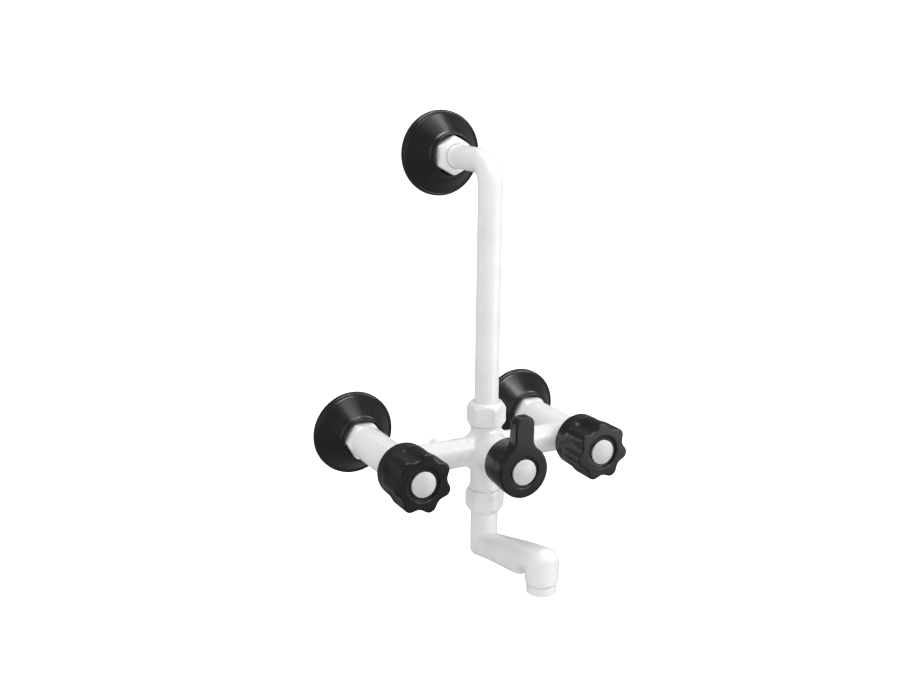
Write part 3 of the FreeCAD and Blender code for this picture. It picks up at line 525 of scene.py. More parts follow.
@dataclass(frozen=True)
class NitrileRubber:
    """Moulded nitrile rubber: a dull near-black skin with a fine bloom of pale dust.

    The skin's grain, about 0.1 mm, is drawn coarser.
    """

    name: str = "moulded_nitrile_rubber"
    colour: str = "1B1B1C"
    bloom: str = "3A3A3B"
    roughness: float = 0.72
    grain_mm: float = 0.5
    grain_height_mm: float = 0.01
    bloom_mm: float = 9.0
    bloom_span: tuple[float, float] = (0.45, 0.75)

    def build(self) -> bpy.types.Material:
        """Make the material.

        Returns:
            The material, which all pieces of the finish share.
        """
        material, tree, place = fresh_material(self.name)
        grain, bloom = (
            add_node(tree, "ShaderNodeTexNoise", inputs={
                "Vector": place, "Scale": per_metre(period), "Detail": 3.0}).outputs["Fac"]
            for period in (self.grain_mm, self.bloom_mm))
        base = fade(tree, bloom, self.bloom_span, (self.colour, self.bloom))
        normal = add_node(tree, "ShaderNodeBump", inputs={
            "Height": grain, "Strength": 1.0, "Distance": self.grain_height_mm * MM}).outputs["Normal"]
        shader = add_node(tree, "ShaderNodeBsdfPrincipled", inputs={
            "Base Color": base, "Roughness": self.roughness, "Normal": normal})
        add_node(tree, "ShaderNodeOutputMaterial", inputs={"Surface": shader.outputs["BSDF"]})
        return material


@dataclass(frozen=True)
class Finishes:
    """Every finish of the tap, by the record's material slot."""

    white: MouldedPlastic = MouldedPlastic(
        "white_moulded_pbt", "F1F1F1", "EAEAEA", "DEDEDC", roughness=0.30, rough_spread=0.05, coat=0.25,
        translucent=0.06)
    black: MouldedPlastic = MouldedPlastic(
        "black_moulded_abs", "131314", "101011", "222223", roughness=0.30, rough_spread=0.05, coat=0.15,
        ior=1.53, grain_height_mm=0.002)
    grey: MouldedPlastic = MouldedPlastic(
        "grey_moulded_acetal", "8C8F91", "7E8183", "A2A4A5", roughness=0.5, rough_spread=0.06, coat=0.0)
    cap: SatinSilverCap = SatinSilverCap()
    brass: TurnedMetal = TurnedMetal("turned_brass", "D9B56B", "A98545", roughness=0.28)
    steel: TurnedMetal = TurnedMetal("turned_stainless_steel", "C3C3C0", "9D9D9A", roughness=0.26)
    rubber: NitrileRubber = NitrileRubber()


class Wardrobe:
    """Built materials, one per slot, handed out to the pieces."""

    def __init__(self, finishes: Finishes) -> None:
        """Build every finish but the caps', which are made one by one.

        Args:
            finishes: The finishes to build.
        """
        self.finishes = finishes
        self.by_slot: dict[str, bpy.types.Material] = {
            "white_plastic": finishes.white.build(),
            "black_plastic": finishes.black.build(),
            "grey_plastic": finishes.grey.build(),
            "brass": finishes.brass.build(),
            "stainless": finishes.steel.build(),
            "rubber": finishes.rubber.build(),
        }

    def finish(self, slot: str, node: str) -> bpy.types.Material:
        """Finish of a slot; that of a cap is made about the middle of its node."""
        return self.by_slot.get(slot) or self.finishes.cap.build(node_centre(node))

    def settle(self, made: bpy.types.Object, node: str, body: str, slot: str) -> None:
        """Dress a new piece, fix it to its body and let it stand for its CAD node.

        Args:
            made: The new piece.
            node: CAD node that it replaces.
            body: CAD body that it moves with.
            slot: The record's material slot that it belongs to.
        """
        made.data.materials.append(self.finish(slot, node))
        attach(made, body)
        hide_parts(node)
        log.info("%s rides on %s with %d faces", made.name, body, len(made.data.polygons))

    def dress_cad(self, record: Mapping[str, Any], nodes: Mapping[str, bpy.types.Object]) -> None:
        """Give every CAD node the finish of its slot.

        Args:
            record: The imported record, which names each node's slot.
            nodes: CAD objects by node name.
        """
        for entry in record["subparts"]:
            made = nodes[entry["node"]]
            material = self.finish(entry["material_slot"], entry["node"])
            if not made.material_slots:
                made.data.materials.append(material)
            for holder in made.material_slots:
                holder.material = material


# Sub-assemblies


@dataclass
class WallFlange:
    """Black moulded cone that covers the hole in the wall, with a rim and a neck round the nut."""

    node: str
    rim_radius: float = 32.7
    rim_height: float = 4.6
    rim_land: float = 2.4
    height: float = 23.0
    neck_height: float = 3.2
    neck_wall: float = 1.7
    bore_radius: float = 15.411
    shell: float = 2.4
    web_radius: float = 11.6
    web_front: float = 11.4
    web_thickness: float = 1.4

    def profile(self) -> np.ndarray:
        """Section of the shell: rim, bead, cone, neck, bore, web and hollow back, with rounded corners.

        Returns:
            Points (out, radius) of the closed section.
        """
        cone_end = self.height - self.neck_height
        neck = self.bore_radius + self.neck_wall
        cone_foot = self.rim_radius - self.rim_land
        return rounded_profile([
            (0.0, self.rim_radius, 0.4),
            (self.rim_height - 0.6, self.rim_radius - 0.1, 1.5),
            (self.rim_height, cone_foot + 0.9, 0.5),
            (self.rim_height - 0.25, cone_foot + 0.35, 0.2),
            (self.rim_height + 0.5, cone_foot - 0.35, 0.5),
            (cone_end - 0.5, neck + 1.5, 1.6),
            (cone_end + 0.5, neck + 0.15, 0.5),
            (self.height, neck - 0.1, 0.8),
            (self.height, self.bore_radius, 0.6),
            (self.web_front, self.bore_radius, 0.4),
            (self.web_front, self.web_radius, 0.3),
            (self.web_front - self.web_thickness, self.web_radius, 0.3),
            (self.web_front - self.web_thickness, self.bore_radius + 2.2, 0.5),
            (self.rim_height - 1.0, cone_foot - self.shell, 1.0),
            (0.0, self.rim_radius - self.shell, 0.3),
        ])

    def build(self, wardrobe: Wardrobe) -> None:
        """Make the flange in place of its CAD node.

        Args:
            wardrobe: Finishes that it is dressed from.
        """
        x, _, z = node_centre(self.node)
        made = piece(self.node + "_moulding", [lathe(self.profile(), (x, 0.0, z), Axis.OUT, 192)])
        wardrobe.settle(made, self.node, "fixed", "black_plastic")


@dataclass
class UnionNut:
    """White hexagon nut with soft corners; the chamfer is wider on the lipped end."""

    node: str
    axis: Axis
    vertex_turn: float = 30.0
    lip_at_start: bool = False
    lip_hole_radius: float = 9.2
    across_flats: float = 26.0
    bore_radius: float = 11.1
    lip: float = 3.0
    lip_chamfer: tuple[float, float] = (4.6, 1.7)
    mouth_chamfer: tuple[float, float] = (2.6, 0.5)
    corner_softness: float = 0.9
    corner_play: float = 0.1
    edge_softness: float = 0.9
    edge_round: float = 0.45
    fine_share: float = 1.4

    def hexagon(self, turn: np.ndarray) -> np.ndarray:
        """Radius of the hexagon, (af / 2) / cos(t) about a flat's middle, with its corners rounded.

        Args:
            turn: Angles about the nut's axis.

        Returns:
            Radius at each angle.
        """
        flat_turn = (turn - math.radians(self.vertex_turn)) % (TURN / 6.0) - TURN / 12.0
        straight = self.across_flats / 2.0 / np.cos(flat_turn)
        corner = np.full_like(straight, self.across_flats / math.sqrt(3.0))
        return soft_min(straight, corner, self.corner_softness)

    def build(self, wardrobe: Wardrobe) -> None:
        """Make the nut in place of its CAD node.

        The outside radius is soft_min(hexagon(t), chamfer cone(s)), drawn in by a quarter circle at
        both ends. The inside is a bore and a lip.

        Args:
            wardrobe: Finishes that it is dressed from.
        """
        start, end = node_span(self.node, self.axis)
        length = end - start
        flat = self.across_flats / 2.0
        over_corner = self.across_flats / math.sqrt(3.0) + self.corner_play
        (first, first_drop), (last, last_drop) = self.mouth_chamfer, self.lip_chamfer
        first_hole, last_hole, step = self.bore_radius, self.lip_hole_radius, length - self.lip
        if self.lip_at_start:
            first, first_drop, last, last_drop = last, last_drop, first, first_drop
            first_hole, last_hole, step = last_hole, first_hole, self.lip
        turn = np.arange(240) * TURN / 240
        fine_first, fine_last = first * self.fine_share, length - last * self.fine_share
        outside = np.concatenate([
            np.linspace(0.0, fine_first, 14), np.linspace(fine_first, fine_last, 6)[1:-1],
            np.linspace(fine_last, length, 14)])
        cone = np.minimum(
            flat - first_drop + outside * (over_corner - flat + first_drop) / first,
            flat - last_drop + (length - outside) * (over_corner - flat + last_drop) / last)[:, None]
        radius = soft_min(self.hexagon(turn)[None], cone, self.edge_softness)
        short = np.clip(self.edge_round - np.minimum(outside, length - outside), 0.0, None)
        radius = radius - (self.edge_round - np.sqrt(self.edge_round ** 2 - short ** 2))[:, None]
        middle = flat - 2.0
        inside = rounded_profile([
            (length, last_hole, 0.4), (step, last_hole), (step, first_hole), (0.0, first_hole, 0.4),
            (0.0, middle), (length, middle)], steps=4)
        inside = inside[inside[:, 1] < middle - 0.5]
        along = np.concatenate([outside, inside[:, 0]])[:, None] + start
        rows = np.concatenate([radius, ring_grids(inside, len(turn))[1]])
        grid = around(along, rows, turn, node_centre(self.node), self.axis)
        made = piece(self.node + "_moulding", [Patch(grid, True)], 50.0)
        wardrobe.settle(made, self.node, "fixed", "white_plastic")


@dataclass
class DomedCap:
    """Silver disc in the front of a knob: a low dome with a small bevelled rim."""

    node: str
    body: str
    radius: float
    dome: float = 1.3
    rim: float = 1.5
    bevel: float = 0.45

    def build(self, wardrobe: Wardrobe) -> None:
        """Make the cap in place of its CAD node, as a profile turned about its axis.

        The dome stands at front - b + sqrt(b^2 - r^2), part of a ball of radius b.

        Args:
            wardrobe: Finishes that it is dressed from.
        """
        x, _, z = node_centre(self.node)
        _, front = node_span(self.node, Axis.OUT)
        seat = front - self.dome - self.rim
        edge_radius = self.radius - self.bevel
        ball = (edge_radius ** 2 + self.dome ** 2) / (2.0 * self.dome)
        reach = np.linspace(0.0, edge_radius, 24)
        crown = front - ball + np.sqrt(ball ** 2 - reach ** 2)
        rim = rounded_profile([
            (crown[-1], edge_radius), (crown[-1] - 0.1, self.radius, 0.35), (seat, self.radius), (seat, 0.0),
        ], closed=False)
        profile = np.concatenate([np.stack([crown, reach], axis=1), rim[1:]])
        made = piece(self.node + "_disc", [lathe(profile, (x, 0.0, z), columns=128, rows_close=False)])
        wardrobe.settle(made, self.node, self.body, "silver_cap")


@dataclass
class LobedKnob:
    """Black knob: round skirt, seven scooped flutes that run out on it, and a dished front."""

    side: Side
    lobe_turn: float
    start: float = 91.8
    end: float = 126.6
    skirt_radius: float = 20.3
    lobe_radius: float = 22.4
    wall: float = 2.6
    roof: float = 5.0
    flare: tuple[float, float] = (9.2, 16.2)
    flutes: int = 7
    flute_radius: float = 6.3
    flute_depth: float = 3.6
    flute_start: float = 10.4
    lobe_softness: float = 4.4
    front_round: float = 1.3
    dish_radius: float = 12.3
    dish_depth: float = 2.1
    hub_radius: float = 7.5
    hub_length: float = 8.6
    hub_bore: float = 5.3
    socket_roof: float = 0.6
    belly: float = 0.25
    inner_step: float = 2.0
    skirt_round: float = 0.75
    flute_columns: int = 52

    @property
    def node(self) -> str:
        """CAD node of the knob, which has the same name as its body."""
        return f"{self.side.value}_knob"

    def outer_radius(self, along: np.ndarray, turn: np.ndarray) -> np.ndarray:
        """Radius of the outside at a distance behind-to-front and an angle.

        The skirt flares to skirt + (lobe - skirt) smoothstep(s), with a slight belly before it. A
        flute is a cylinder of radius f whose axis lies at distance d from the knob's, ended by a
        ball, so that a point at radius r clears it by sqrt(r^2 + d^2 - 2 r d cos(p) + b^2) - f, where
        b is how far it lies behind the ball's centre. The outside is where the soft minimum of
        (flare - r) and that clearance is zero, found by halving an interval for all the points at once.

        Args:
            along: Distance from the knob's rear, shaped (rows, 1) or (rows, columns).
            turn: Angle about its axis, shaped (1, columns).

        Returns:
            Radius, shaped (rows, columns).
        """
        low, high = self.flare
        flared = self.skirt_radius + (self.lobe_radius - self.skirt_radius) * smoothstep(low, high, along)
        flared = flared + self.belly * smoothstep(0.0, low, along) * (1.0 - smoothstep(low, high, along))
        flute_axis = self.lobe_radius - self.flute_depth + self.flute_radius
        behind = np.clip(self.flute_start + self.flute_radius - along, 0.0, None)
        spacing = TURN / self.flutes
        angle = (turn - TURN / 4.0 + math.radians(self.lobe_turn)) % spacing - spacing / 2.0
        flared, angle = np.broadcast_arrays(flared, angle)
        near, far = 0.6 * flared, flared
        for _ in range(HALVINGS):
            middle = 0.5 * (near + far)
            clear = np.sqrt(middle ** 2 + flute_axis ** 2 - 2.0 * middle * flute_axis * np.cos(angle)
                            + behind ** 2) - self.flute_radius
            solid = soft_min(flared - middle, clear, self.lobe_softness) > 0.0
            near, far = np.where(solid, middle, near), np.where(solid, far, middle)
        return 0.5 * (near + far)

    def build(self, wardrobe: Wardrobe) -> None:
        """Make the knob in place of its CAD node, as one closed grid of rings from front to hub.

        Args:
            wardrobe: Finishes that it is dressed from.
        """
        x, _, z = node_centre(f"{self.node}_screw")
        length = self.end - self.start
        columns = self.flutes * self.flute_columns
        turn = np.arange(columns) * TURN / columns
        front = rounded_profile([
            (length - self.dish_depth, 0.0), (length - self.dish_depth, self.dish_radius, 0.5),
            (length - 0.55, self.dish_radius + 0.35, 0.3), (length - 0.55, self.dish_radius + 0.8, 0.2),
            (length, self.dish_radius + 1.1, 0.3), (length, self.dish_radius + 1.8),
        ], closed=False)
        dish_along, dish_radius = ring_grids(front, columns)
        rim = self.outer_radius(np.full((1, columns), length), turn[None])
        bend = np.linspace(math.pi / 2.0, 0.0, 8)[:, None]
        bend_radius = rim - self.front_round * (1.0 - np.cos(bend))
        bend_along = length - self.front_round * (1.0 - np.sin(bend)) + 0.0 * rim
        share = np.linspace(0.0, 1.0, 6)[1:-1, None]
        face_radius = dish_radius[-1:] * (1.0 - share) + bend_radius[:1] * share
        face_along = np.full_like(face_radius, length)
        side_end = self.skirt_round + 0.05
        side_along = np.linspace(length - self.front_round, side_end, 72)[1:, None] + 0.0 * rim
        side_radius = self.outer_radius(side_along, turn[None])
        inner = self.skirt_radius - self.wall
        narrow = inner - self.inner_step
        roof = length - self.roof
        hub_end = roof - self.hub_length
        rest_along, rest_radius = ring_grids(rounded_profile([
            (side_end, self.skirt_radius), (0.0, self.skirt_radius, self.skirt_round), (0.0, inner, 0.3),
            (self.flute_start - 3.0, inner, 1.0), (self.flute_start, narrow, 1.0), (roof, narrow, 2.0),
            (roof, self.hub_radius, 1.0), (hub_end, self.hub_radius, 0.5), (hub_end, self.hub_bore, 0.3),
            (roof + self.socket_roof, self.hub_bore), (roof + self.socket_roof, 0.0),
        ], closed=False)[1:], columns)
        along = np.concatenate([dish_along, face_along, bend_along, side_along, rest_along]) + self.start
        radius = np.concatenate([dish_radius, face_radius, bend_radius, side_radius, rest_radius])
        grid = around(along, radius, turn, (x, 0.0, z), Axis.OUT)
        made = piece(self.node + "_moulding", [Patch(grid)], 44.0)
        wardrobe.settle(made, self.node, self.node, "black_plastic")


@dataclass
class DiverterHandle:
    """Black handle of the diverter: round drum, and in front of it a disc with an upright lever."""

    node: str = "diverter_knob"
    body: str = "diverter"
    start: float = 110.0
    disc_start: float = 126.8
    end: float = 136.4
    drum_rear_radius: float = 18.0
    drum_front_radius: float = 19.2
    drum_wall: float = 1.9
    disc_radius: float = 19.7
    groove_width: float = 0.7
    groove_depth: float = 0.8
    lever_width: float = 15.2
    lever_reach: float = 41.4
    lever_corner: float = 6.0
    blend: float = 10.0
    front_round: float = 1.0
    rear_round: float = 0.6
    tip_rear_round: float = 3.2
    dish_radius: float = 11.5
    dish_depth: float = 1.4
    roof: float = 6.4
    hub_start: float = 122.8
    hub_radius: float = 7.5
    hub_bore: float = 5.3
    socket_roof: float = 2.0
    ceiling: float = 2.4

    def outline(self, count: int = 420) -> np.ndarray:
        """Disc and lever seen from the front: a circle arc, two blend arcs and a rounded bar.

        Args:
            count: Number of points.

        Returns:
            Points (x, z) about the diverter's axis, evenly spaced along the outline.
        """
        half = self.lever_width / 2.0
        blend_x = half + self.blend
        blend_z = math.sqrt((self.disc_radius + self.blend) ** 2 - blend_x ** 2)
        tip = rounded_profile([
            (half, blend_z), (half, self.lever_reach, self.lever_corner),
            (-half, self.lever_reach, self.lever_corner), (-half, blend_z),
        ], closed=False, steps=12)
        first = math.atan2(blend_z, blend_x)
        circle = self.disc_radius * circle_points(np.linspace(math.pi - first, first + TURN, 200))
        right = np.array([blend_x, blend_z]) + self.blend * circle_points(
            np.linspace(first + math.pi, math.pi, 16)[1:-1])
        left = right[::-1] * np.array([-1.0, 1.0])
        points = np.concatenate([circle, right, tip, left])
        closed = np.concatenate([points, points[:1]])
        length = np.concatenate([[0.0], np.cumsum(np.linalg.norm(np.diff(closed, axis=0), axis=1))])
        even = np.linspace(0.0, length[-1], count + 1)[:-1]
        return np.stack([np.interp(even, length, closed[:, k]) for k in (0, 1)], axis=1)

    def head(self, centre: Sequence[float]) -> Patch:
        """Disc and lever: the outline carried back to front and drawn in at both edges.

        At both edges a quarter circle draws the outline in along its normal. The rear one's radius
        grows from the disc to the lever's tip by smoothstep(height).

        Args:
            centre: Point on the diverter's axis.

        Returns:
            Closed grid of rings from the middle of the rear to the middle of the front's dish.
        """
        edge = self.outline()
        along_edge = np.roll(edge, -1, axis=0) - np.roll(edge, 1, axis=0)
        inward = unit(np.stack([-along_edge[:, 1], along_edge[:, 0]], axis=1))
        bend = np.linspace(0.0, math.pi / 2.0, 7)
        rear_round = self.rear_round + (self.tip_rear_round - self.rear_round) * smoothstep(
            self.disc_radius, self.lever_reach, edge[:, 1])
        front_round = np.full(len(edge), self.front_round)
        falling, rising = (1.0 - np.cos(bend))[:, None], (1.0 - np.sin(bend))[:, None]
        inset = np.concatenate([rear_round * falling[::-1], front_round * falling])
        along = np.concatenate([
            self.disc_start + rear_round * rising[::-1], self.end - front_round * rising])
        side = edge[None] + inward[None] * inset[..., None]
        ring = circle_points(np.arctan2(edge[:, 1], edge[:, 0]))
        dish = rounded_profile([
            (self.end, self.dish_radius + 1.9), (self.end, self.dish_radius + 1.1, 0.25),
            (self.end - 0.4, self.dish_radius + 0.7, 0.2), (self.end - 0.4, self.dish_radius + 0.3, 0.2),
            (self.end - self.dish_depth, self.dish_radius, 0.3), (self.end - self.dish_depth, 0.0),
        ], closed=False)
        share = np.linspace(0.0, 1.0, 6)[1:-1, None, None]
        face = side[-1:] * (1.0 - share) + (ring * dish[0, 1])[None] * share
        middle = ring[None] * dish[:, 1, None, None]
        rear = (ring * 2.0)[None]
        flat = np.concatenate([rear, side, face, middle])
        flat_face = np.full((len(face), len(edge)), self.end)
        run = np.concatenate([
            0.0 * along[:1] + self.disc_start, along, flat_face, ring_grids(dish, len(edge))[0]])
        points = np.stack([centre[0] + flat[..., 0], -run, centre[2] + flat[..., 1]], axis=-1)
        closing = points[:1].copy()
        closing[..., 0] = centre[0]
        closing[..., 2] = centre[2]
        return Patch(np.concatenate([closing, points]))

    def drum(self, centre: Sequence[float]) -> Patch:
        """Hollow drum behind the disc, as a closed section turned about the axis.

        Args:
            centre: Point on the diverter's axis.

        Returns:
            Closed surface with the hub and its socket inside.
        """
        inner = self.drum_rear_radius - self.drum_wall
        roof = self.end - self.roof
        neck = self.disc_start - self.groove_width
        profile = rounded_profile([
            (self.start, inner, 0.3), (self.start, self.drum_rear_radius, 0.8),
            (neck, self.drum_front_radius, 0.8), (neck, self.drum_front_radius - self.groove_depth, 0.3),
            (self.disc_start + 0.3, self.drum_front_radius - self.groove_depth),
            (self.disc_start + 0.3, 0.0),
        ], closed=False)
        back = rounded_profile([
            (self.disc_start + 0.3, 0.0), (roof - self.socket_roof, 0.0),
            (roof - self.socket_roof, self.hub_bore), (self.hub_start, self.hub_bore, 0.3),
            (self.hub_start, self.hub_radius, 0.4), (roof - self.ceiling, self.hub_radius, 0.8),
            (roof - self.ceiling, inner, 1.5), (self.start, inner),
        ], closed=False)
        return lathe(np.concatenate([profile, back[1:-1]]), centre, Axis.OUT, 160)

    def build(self, wardrobe: Wardrobe) -> None:
        """Make the handle in place of its CAD node.

        Args:
            wardrobe: Finishes that it is dressed from.
        """
        centre = (0.0, 0.0, 0.0)
        made = piece(self.node + "_moulding", [self.head(centre), self.drum(centre)], 40.0)
        wardrobe.settle(made, self.node, self.body, "black_plastic")


@dataclass
class RiserPipe:
    """White pipe that stands on the body and turns back to the wall on one bend."""

    node: str = "riser_pipe"
    radius: float = 9.0
    bore: float = 7.0
    bend_radius: float = 17.0
    column_out: float = 80.0
    top: float = 214.5
    end_round: float = 0.4

    def build(self, wardrobe: Wardrobe) -> None:
        """Make the pipe: a circle carried up a line, round a quarter circle and back along a line.

        With p(s) the path in the plane x = 0 and n(s) its normal there, the surface is
        p + r (cos t X + sin t n), outside with r, then inside with the bore.

        Args:
            wardrobe: Finishes that it is dressed from.
        """
        bottom, _ = node_span(self.node, Axis.UP)
        wall_end, _ = node_span(self.node, Axis.OUT)
        bend = np.linspace(0.0, math.pi / 2.0, 40)
        path_out = np.concatenate([
            np.full(2, self.column_out), self.column_out - self.bend_radius * (1.0 - np.cos(bend)),
            [wall_end + self.end_round, wall_end]])
        path_up = np.concatenate([
            [bottom, bottom + self.end_round], self.top - self.bend_radius * (1.0 - np.sin(bend)),
            np.full(2, self.top)])
        heading = np.concatenate([[0.0, 0.0], bend, [math.pi / 2.0] * 2])
        turn = np.arange(96) * TURN / 96
        rows = []
        for radius, order in ((self.radius, slice(None)), (self.bore, slice(None, None, -1))):
            shrink = np.zeros(len(path_out))
            if radius == self.radius:
                shrink[[0, -1]] = self.end_round
            size = (radius - shrink)[:, None]
            across = size * np.cos(turn)
            lift = size * np.sin(turn)
            out = path_out[:, None] + lift * np.cos(heading)[:, None]
            up = path_up[:, None] + lift * np.sin(heading)[:, None]
            rows.append(np.stack([across, -out, up], axis=-1)[order])
        made = piece(self.node + "_tube", [Patch(np.concatenate(rows), True)])
        wardrobe.settle(made, self.node, "fixed", "white_plastic")


@dataclass
class Sections:
    """Elliptical cross-sections along a path in the plane x = 0, in millimetres.

    Each has a centre (out, up), the unit direction of its in-plane half-axis, the length of that
    half-axis and the length of the half-axis along X.
    """

    centre: np.ndarray
    side: np.ndarray
    depth: np.ndarray
    width: np.ndarray

    def points(self, columns: int) -> np.ndarray:
        """Surface c + depth cos(t) side + width sin(t) X, with t running round each section.

        Args:
            columns: Number of points round a section.

        Returns:
            Grid of points shaped (sections, columns, 3).
        """
        turn = np.arange(columns) * TURN / columns
        swing = self.depth[:, None, None] * np.cos(turn)[None, :, None] * self.side[:, None, :]
        flat = self.centre[:, None, :] + swing
        across = self.width[:, None] * np.sin(turn)
        return np.stack([across, -flat[..., 0], flat[..., 1]], axis=-1)

    def bored(self, radius: float, longest: float = 1.3) -> "Sections":
        """The same path walked back with a bore's radius, in each section's shape up to a limit."""
        shape = np.minimum(self.depth / self.width, longest)
        return Sections(self.centre[::-1], self.side[::-1], (radius * shape)[::-1],
                        np.full(len(shape), radius))

    @staticmethod
    def level(out: float, heights: np.ndarray, radii: np.ndarray) -> "Sections":
        """Round level sections about an upright line at a distance out."""
        centre = np.stack([np.full(len(heights), out), heights], axis=1)
        return Sections(centre, np.tile([1.0, 0.0], (len(heights), 1)), radii, radii)

    @staticmethod
    def joined(parts: Sequence["Sections"]) -> "Sections":
        """Several runs of sections as one."""
        return Sections(*(np.concatenate([getattr(part, name) for part in parts])
                          for name in ("centre", "side", "depth", "width")))


@dataclass
class Spout:
    """White moulded spout: neck with seal grooves, down tube, sharp elbow, rising run and nozzle."""

    node: str = "spout"
    body: str = "spout"
    column_out: float = 80.0
    neck_radius: float = 8.0
    bore_radius: float = 5.75
    tube_radius: float = 10.5
    head_radius: float = 12.4
    nozzle_radius: float = 12.1
    elbow_up: float = -77.4
    reach: float = 83.2
    rise: float = 17.6
    elbow_fillet: float = 1.6
    elbow_softness: float = 9.0
    nozzle_fillet: float = 1.1
    head_softness: float = 20.0
    heel_along: float = 58.0
    heel_offset: float = 12.9
    throat_offset: float = 7.0
    shoulder_up: float = -49.4
    shoulder_steps: tuple[tuple[float, float], ...] = ((0.0, 0.8), (0.25, 0.24), (0.8, 0.0))
    nozzle_up: float = -73.6
    bevel_height: float = 2.2
    bevel_inset: float = 1.0
    recess_radius: float = 10.1
    recess_depth: float = 6.4
    seal_spacing: float = 3.6
    groove_depth: float = 2.0
    groove_width: float = 2.5
    ring_groove_depth: float = 1.1
    columns: int = 128

    def direction(self, angle: np.ndarray) -> np.ndarray:
        """Left-hand normal (out, up) of a heading given as an angle above straight ahead."""
        return np.stack([-np.sin(angle), np.cos(angle)], axis=-1)

    def leaning(self, reach: float, lean: np.ndarray) -> np.ndarray:
        """Distance to a flat side along a line that leans from its normal: reach / cos(lean)."""
        return reach / np.maximum(np.cos(lean), 0.2)

    def fan(self, pivot: np.ndarray, headings: np.ndarray, inner: float, outer: np.ndarray,
            width: np.ndarray, sign: float) -> Sections:
        """Sections in planes through a pivot line, from a small inner distance to an outer distance.

        Args:
            pivot: Inner corner of the bend, set out by the fillet's radius.
            headings: Direction of travel at each section.
            inner: Distance from the pivot to the near side of every section.
            outer: Distance from the pivot to the far side.
            width: Half-axis along X.
            sign: 1 for a bend to the left of the travel, -1 for one to the right.

        Returns:
            One section for each heading.
        """
        side = self.direction(headings)
        centre = pivot - sign * side * ((inner + outer) / 2.0)[:, None]
        return Sections(centre, side, (outer - inner) / 2.0, width)

    def outside(self) -> Sections:
        """Down tube, elbow, run, nozzle head and nozzle as sections from the shoulder down.

        The run's underside falls away to a heel and then climbs to the nozzle's back, so each of its
        sections is an ellipse from (under) below the axis to (top) above it. The elbow and the head
        are fans of sections about their inner corners, with the outer sides' meeting rounded.

        Returns:
            Sections from the tube's edge below the shoulder to the nozzle's last full one.
        """
        tube, nozzle = self.tube_radius, self.nozzle_radius
        slope = math.atan2(self.rise, self.reach)
        down = -math.pi / 2.0
        bend = slope - down
        ahead = np.array([math.cos(slope), math.sin(slope)])
        lift = (1.0 + math.sin(slope)) / math.cos(slope)
        elbow = np.array([self.column_out, self.elbow_up])
        nose = elbow + np.array([self.reach, self.rise])

        corner = elbow + (tube + self.elbow_fillet) * np.array([1.0, lift])
        turn = np.linspace(0.0, bend, 41)
        far = 2.0 * tube + self.elbow_fillet
        outer = soft_min(self.leaning(far, turn), self.leaning(far, bend - turn), self.elbow_softness)
        elbow_part = self.fan(corner, down + turn, self.elbow_fillet, outer, np.full(len(turn), tube), 1.0)

        head, throat = self.head_radius, self.throat_offset
        back = nozzle + self.nozzle_fillet
        below = throat + self.nozzle_fillet
        pivot = nose - np.array([back, (below + math.sin(slope) * back) / math.cos(slope)])
        outer = soft_min(self.leaning(head + below, turn), self.leaning(nozzle + back, bend - turn),
                         self.head_softness)
        nozzle_part = self.fan(pivot, slope - turn, self.nozzle_fillet, outer,
                               head + (nozzle - head) * turn / bend, -1.0)

        begin = float((corner - elbow) @ ahead)
        finish = float((pivot - elbow) @ ahead)
        travel = begin + (finish - begin) * np.linspace(0.0, 1.0, 40)[1:-1]
        widening = np.clip((travel - begin) / (self.heel_along - begin), 0.0, 1.0)
        top = tube + (head - tube) * widening
        under = (tube + (self.heel_offset - tube) * widening
                 + (throat - self.heel_offset) * smoothstep(self.heel_along - 3.0, finish, travel))
        normal = self.direction(np.array([slope]))
        run = Sections(elbow + travel[:, None] * ahead + ((top - under) / 2.0)[:, None] * normal,
                       np.repeat(normal, len(travel), axis=0), (top + under) / 2.0, top)

        drop, inset = np.array(self.shoulder_steps).T
        tube_part = Sections.level(self.column_out, self.shoulder_up - drop, tube - inset)
        return Sections.joined([tube_part, elbow_part, run, nozzle_part])

    def mouth(self) -> Sections:
        """Bevelled mouth of the nozzle, and inside it the recess for the aerator.

        Returns:
            Sections down to the mouth's edge and then up to the bore.
        """
        rim, edge = self.nozzle_radius, self.nozzle_radius - self.bevel_inset
        bevel_up, recess_up = self.nozzle_up + self.bevel_height, self.nozzle_up + self.recess_depth
        heights, radii = np.array([
            (bevel_up + 0.3, rim), (bevel_up - 0.3, rim - 0.14), (self.nozzle_up + 0.3, edge + 0.14),
            (self.nozzle_up, edge - 0.3), (self.nozzle_up, self.recess_radius),
            (recess_up, self.recess_radius), (recess_up, self.bore_radius)]).T
        return Sections.level(self.column_out + self.reach, heights, radii)

    def neck(self) -> Sections:
        """Neck above the shoulder, with grooves for its two seals and its snap ring.

        Returns:
            Sections from the neck's top edge down.
        """
        _, top = node_span(self.node, Axis.UP)
        _, _, seals = node_centre("spout_rings")
        spread, half = self.seal_spacing / 2.0, self.groove_width / 2.0
        ring_low, ring_high = node_span("spout_snap_ring", Axis.UP)
        neck = self.neck_radius
        steps = [(top, self.bore_radius), (top, neck - 0.5), (top - 0.5, neck)]
        for high, low, depth in (
                (seals + spread + half, seals + spread - half, self.groove_depth),
                (seals - spread + half, seals - spread - half, self.groove_depth),
                (ring_high, ring_low, self.ring_groove_depth)):
            steps += [(high, neck), (high, neck - depth), (low, neck - depth), (low, neck)]
        heights, radii = np.array(steps + [(self.shoulder_up, neck)]).T
        return Sections.level(self.column_out, heights, radii)

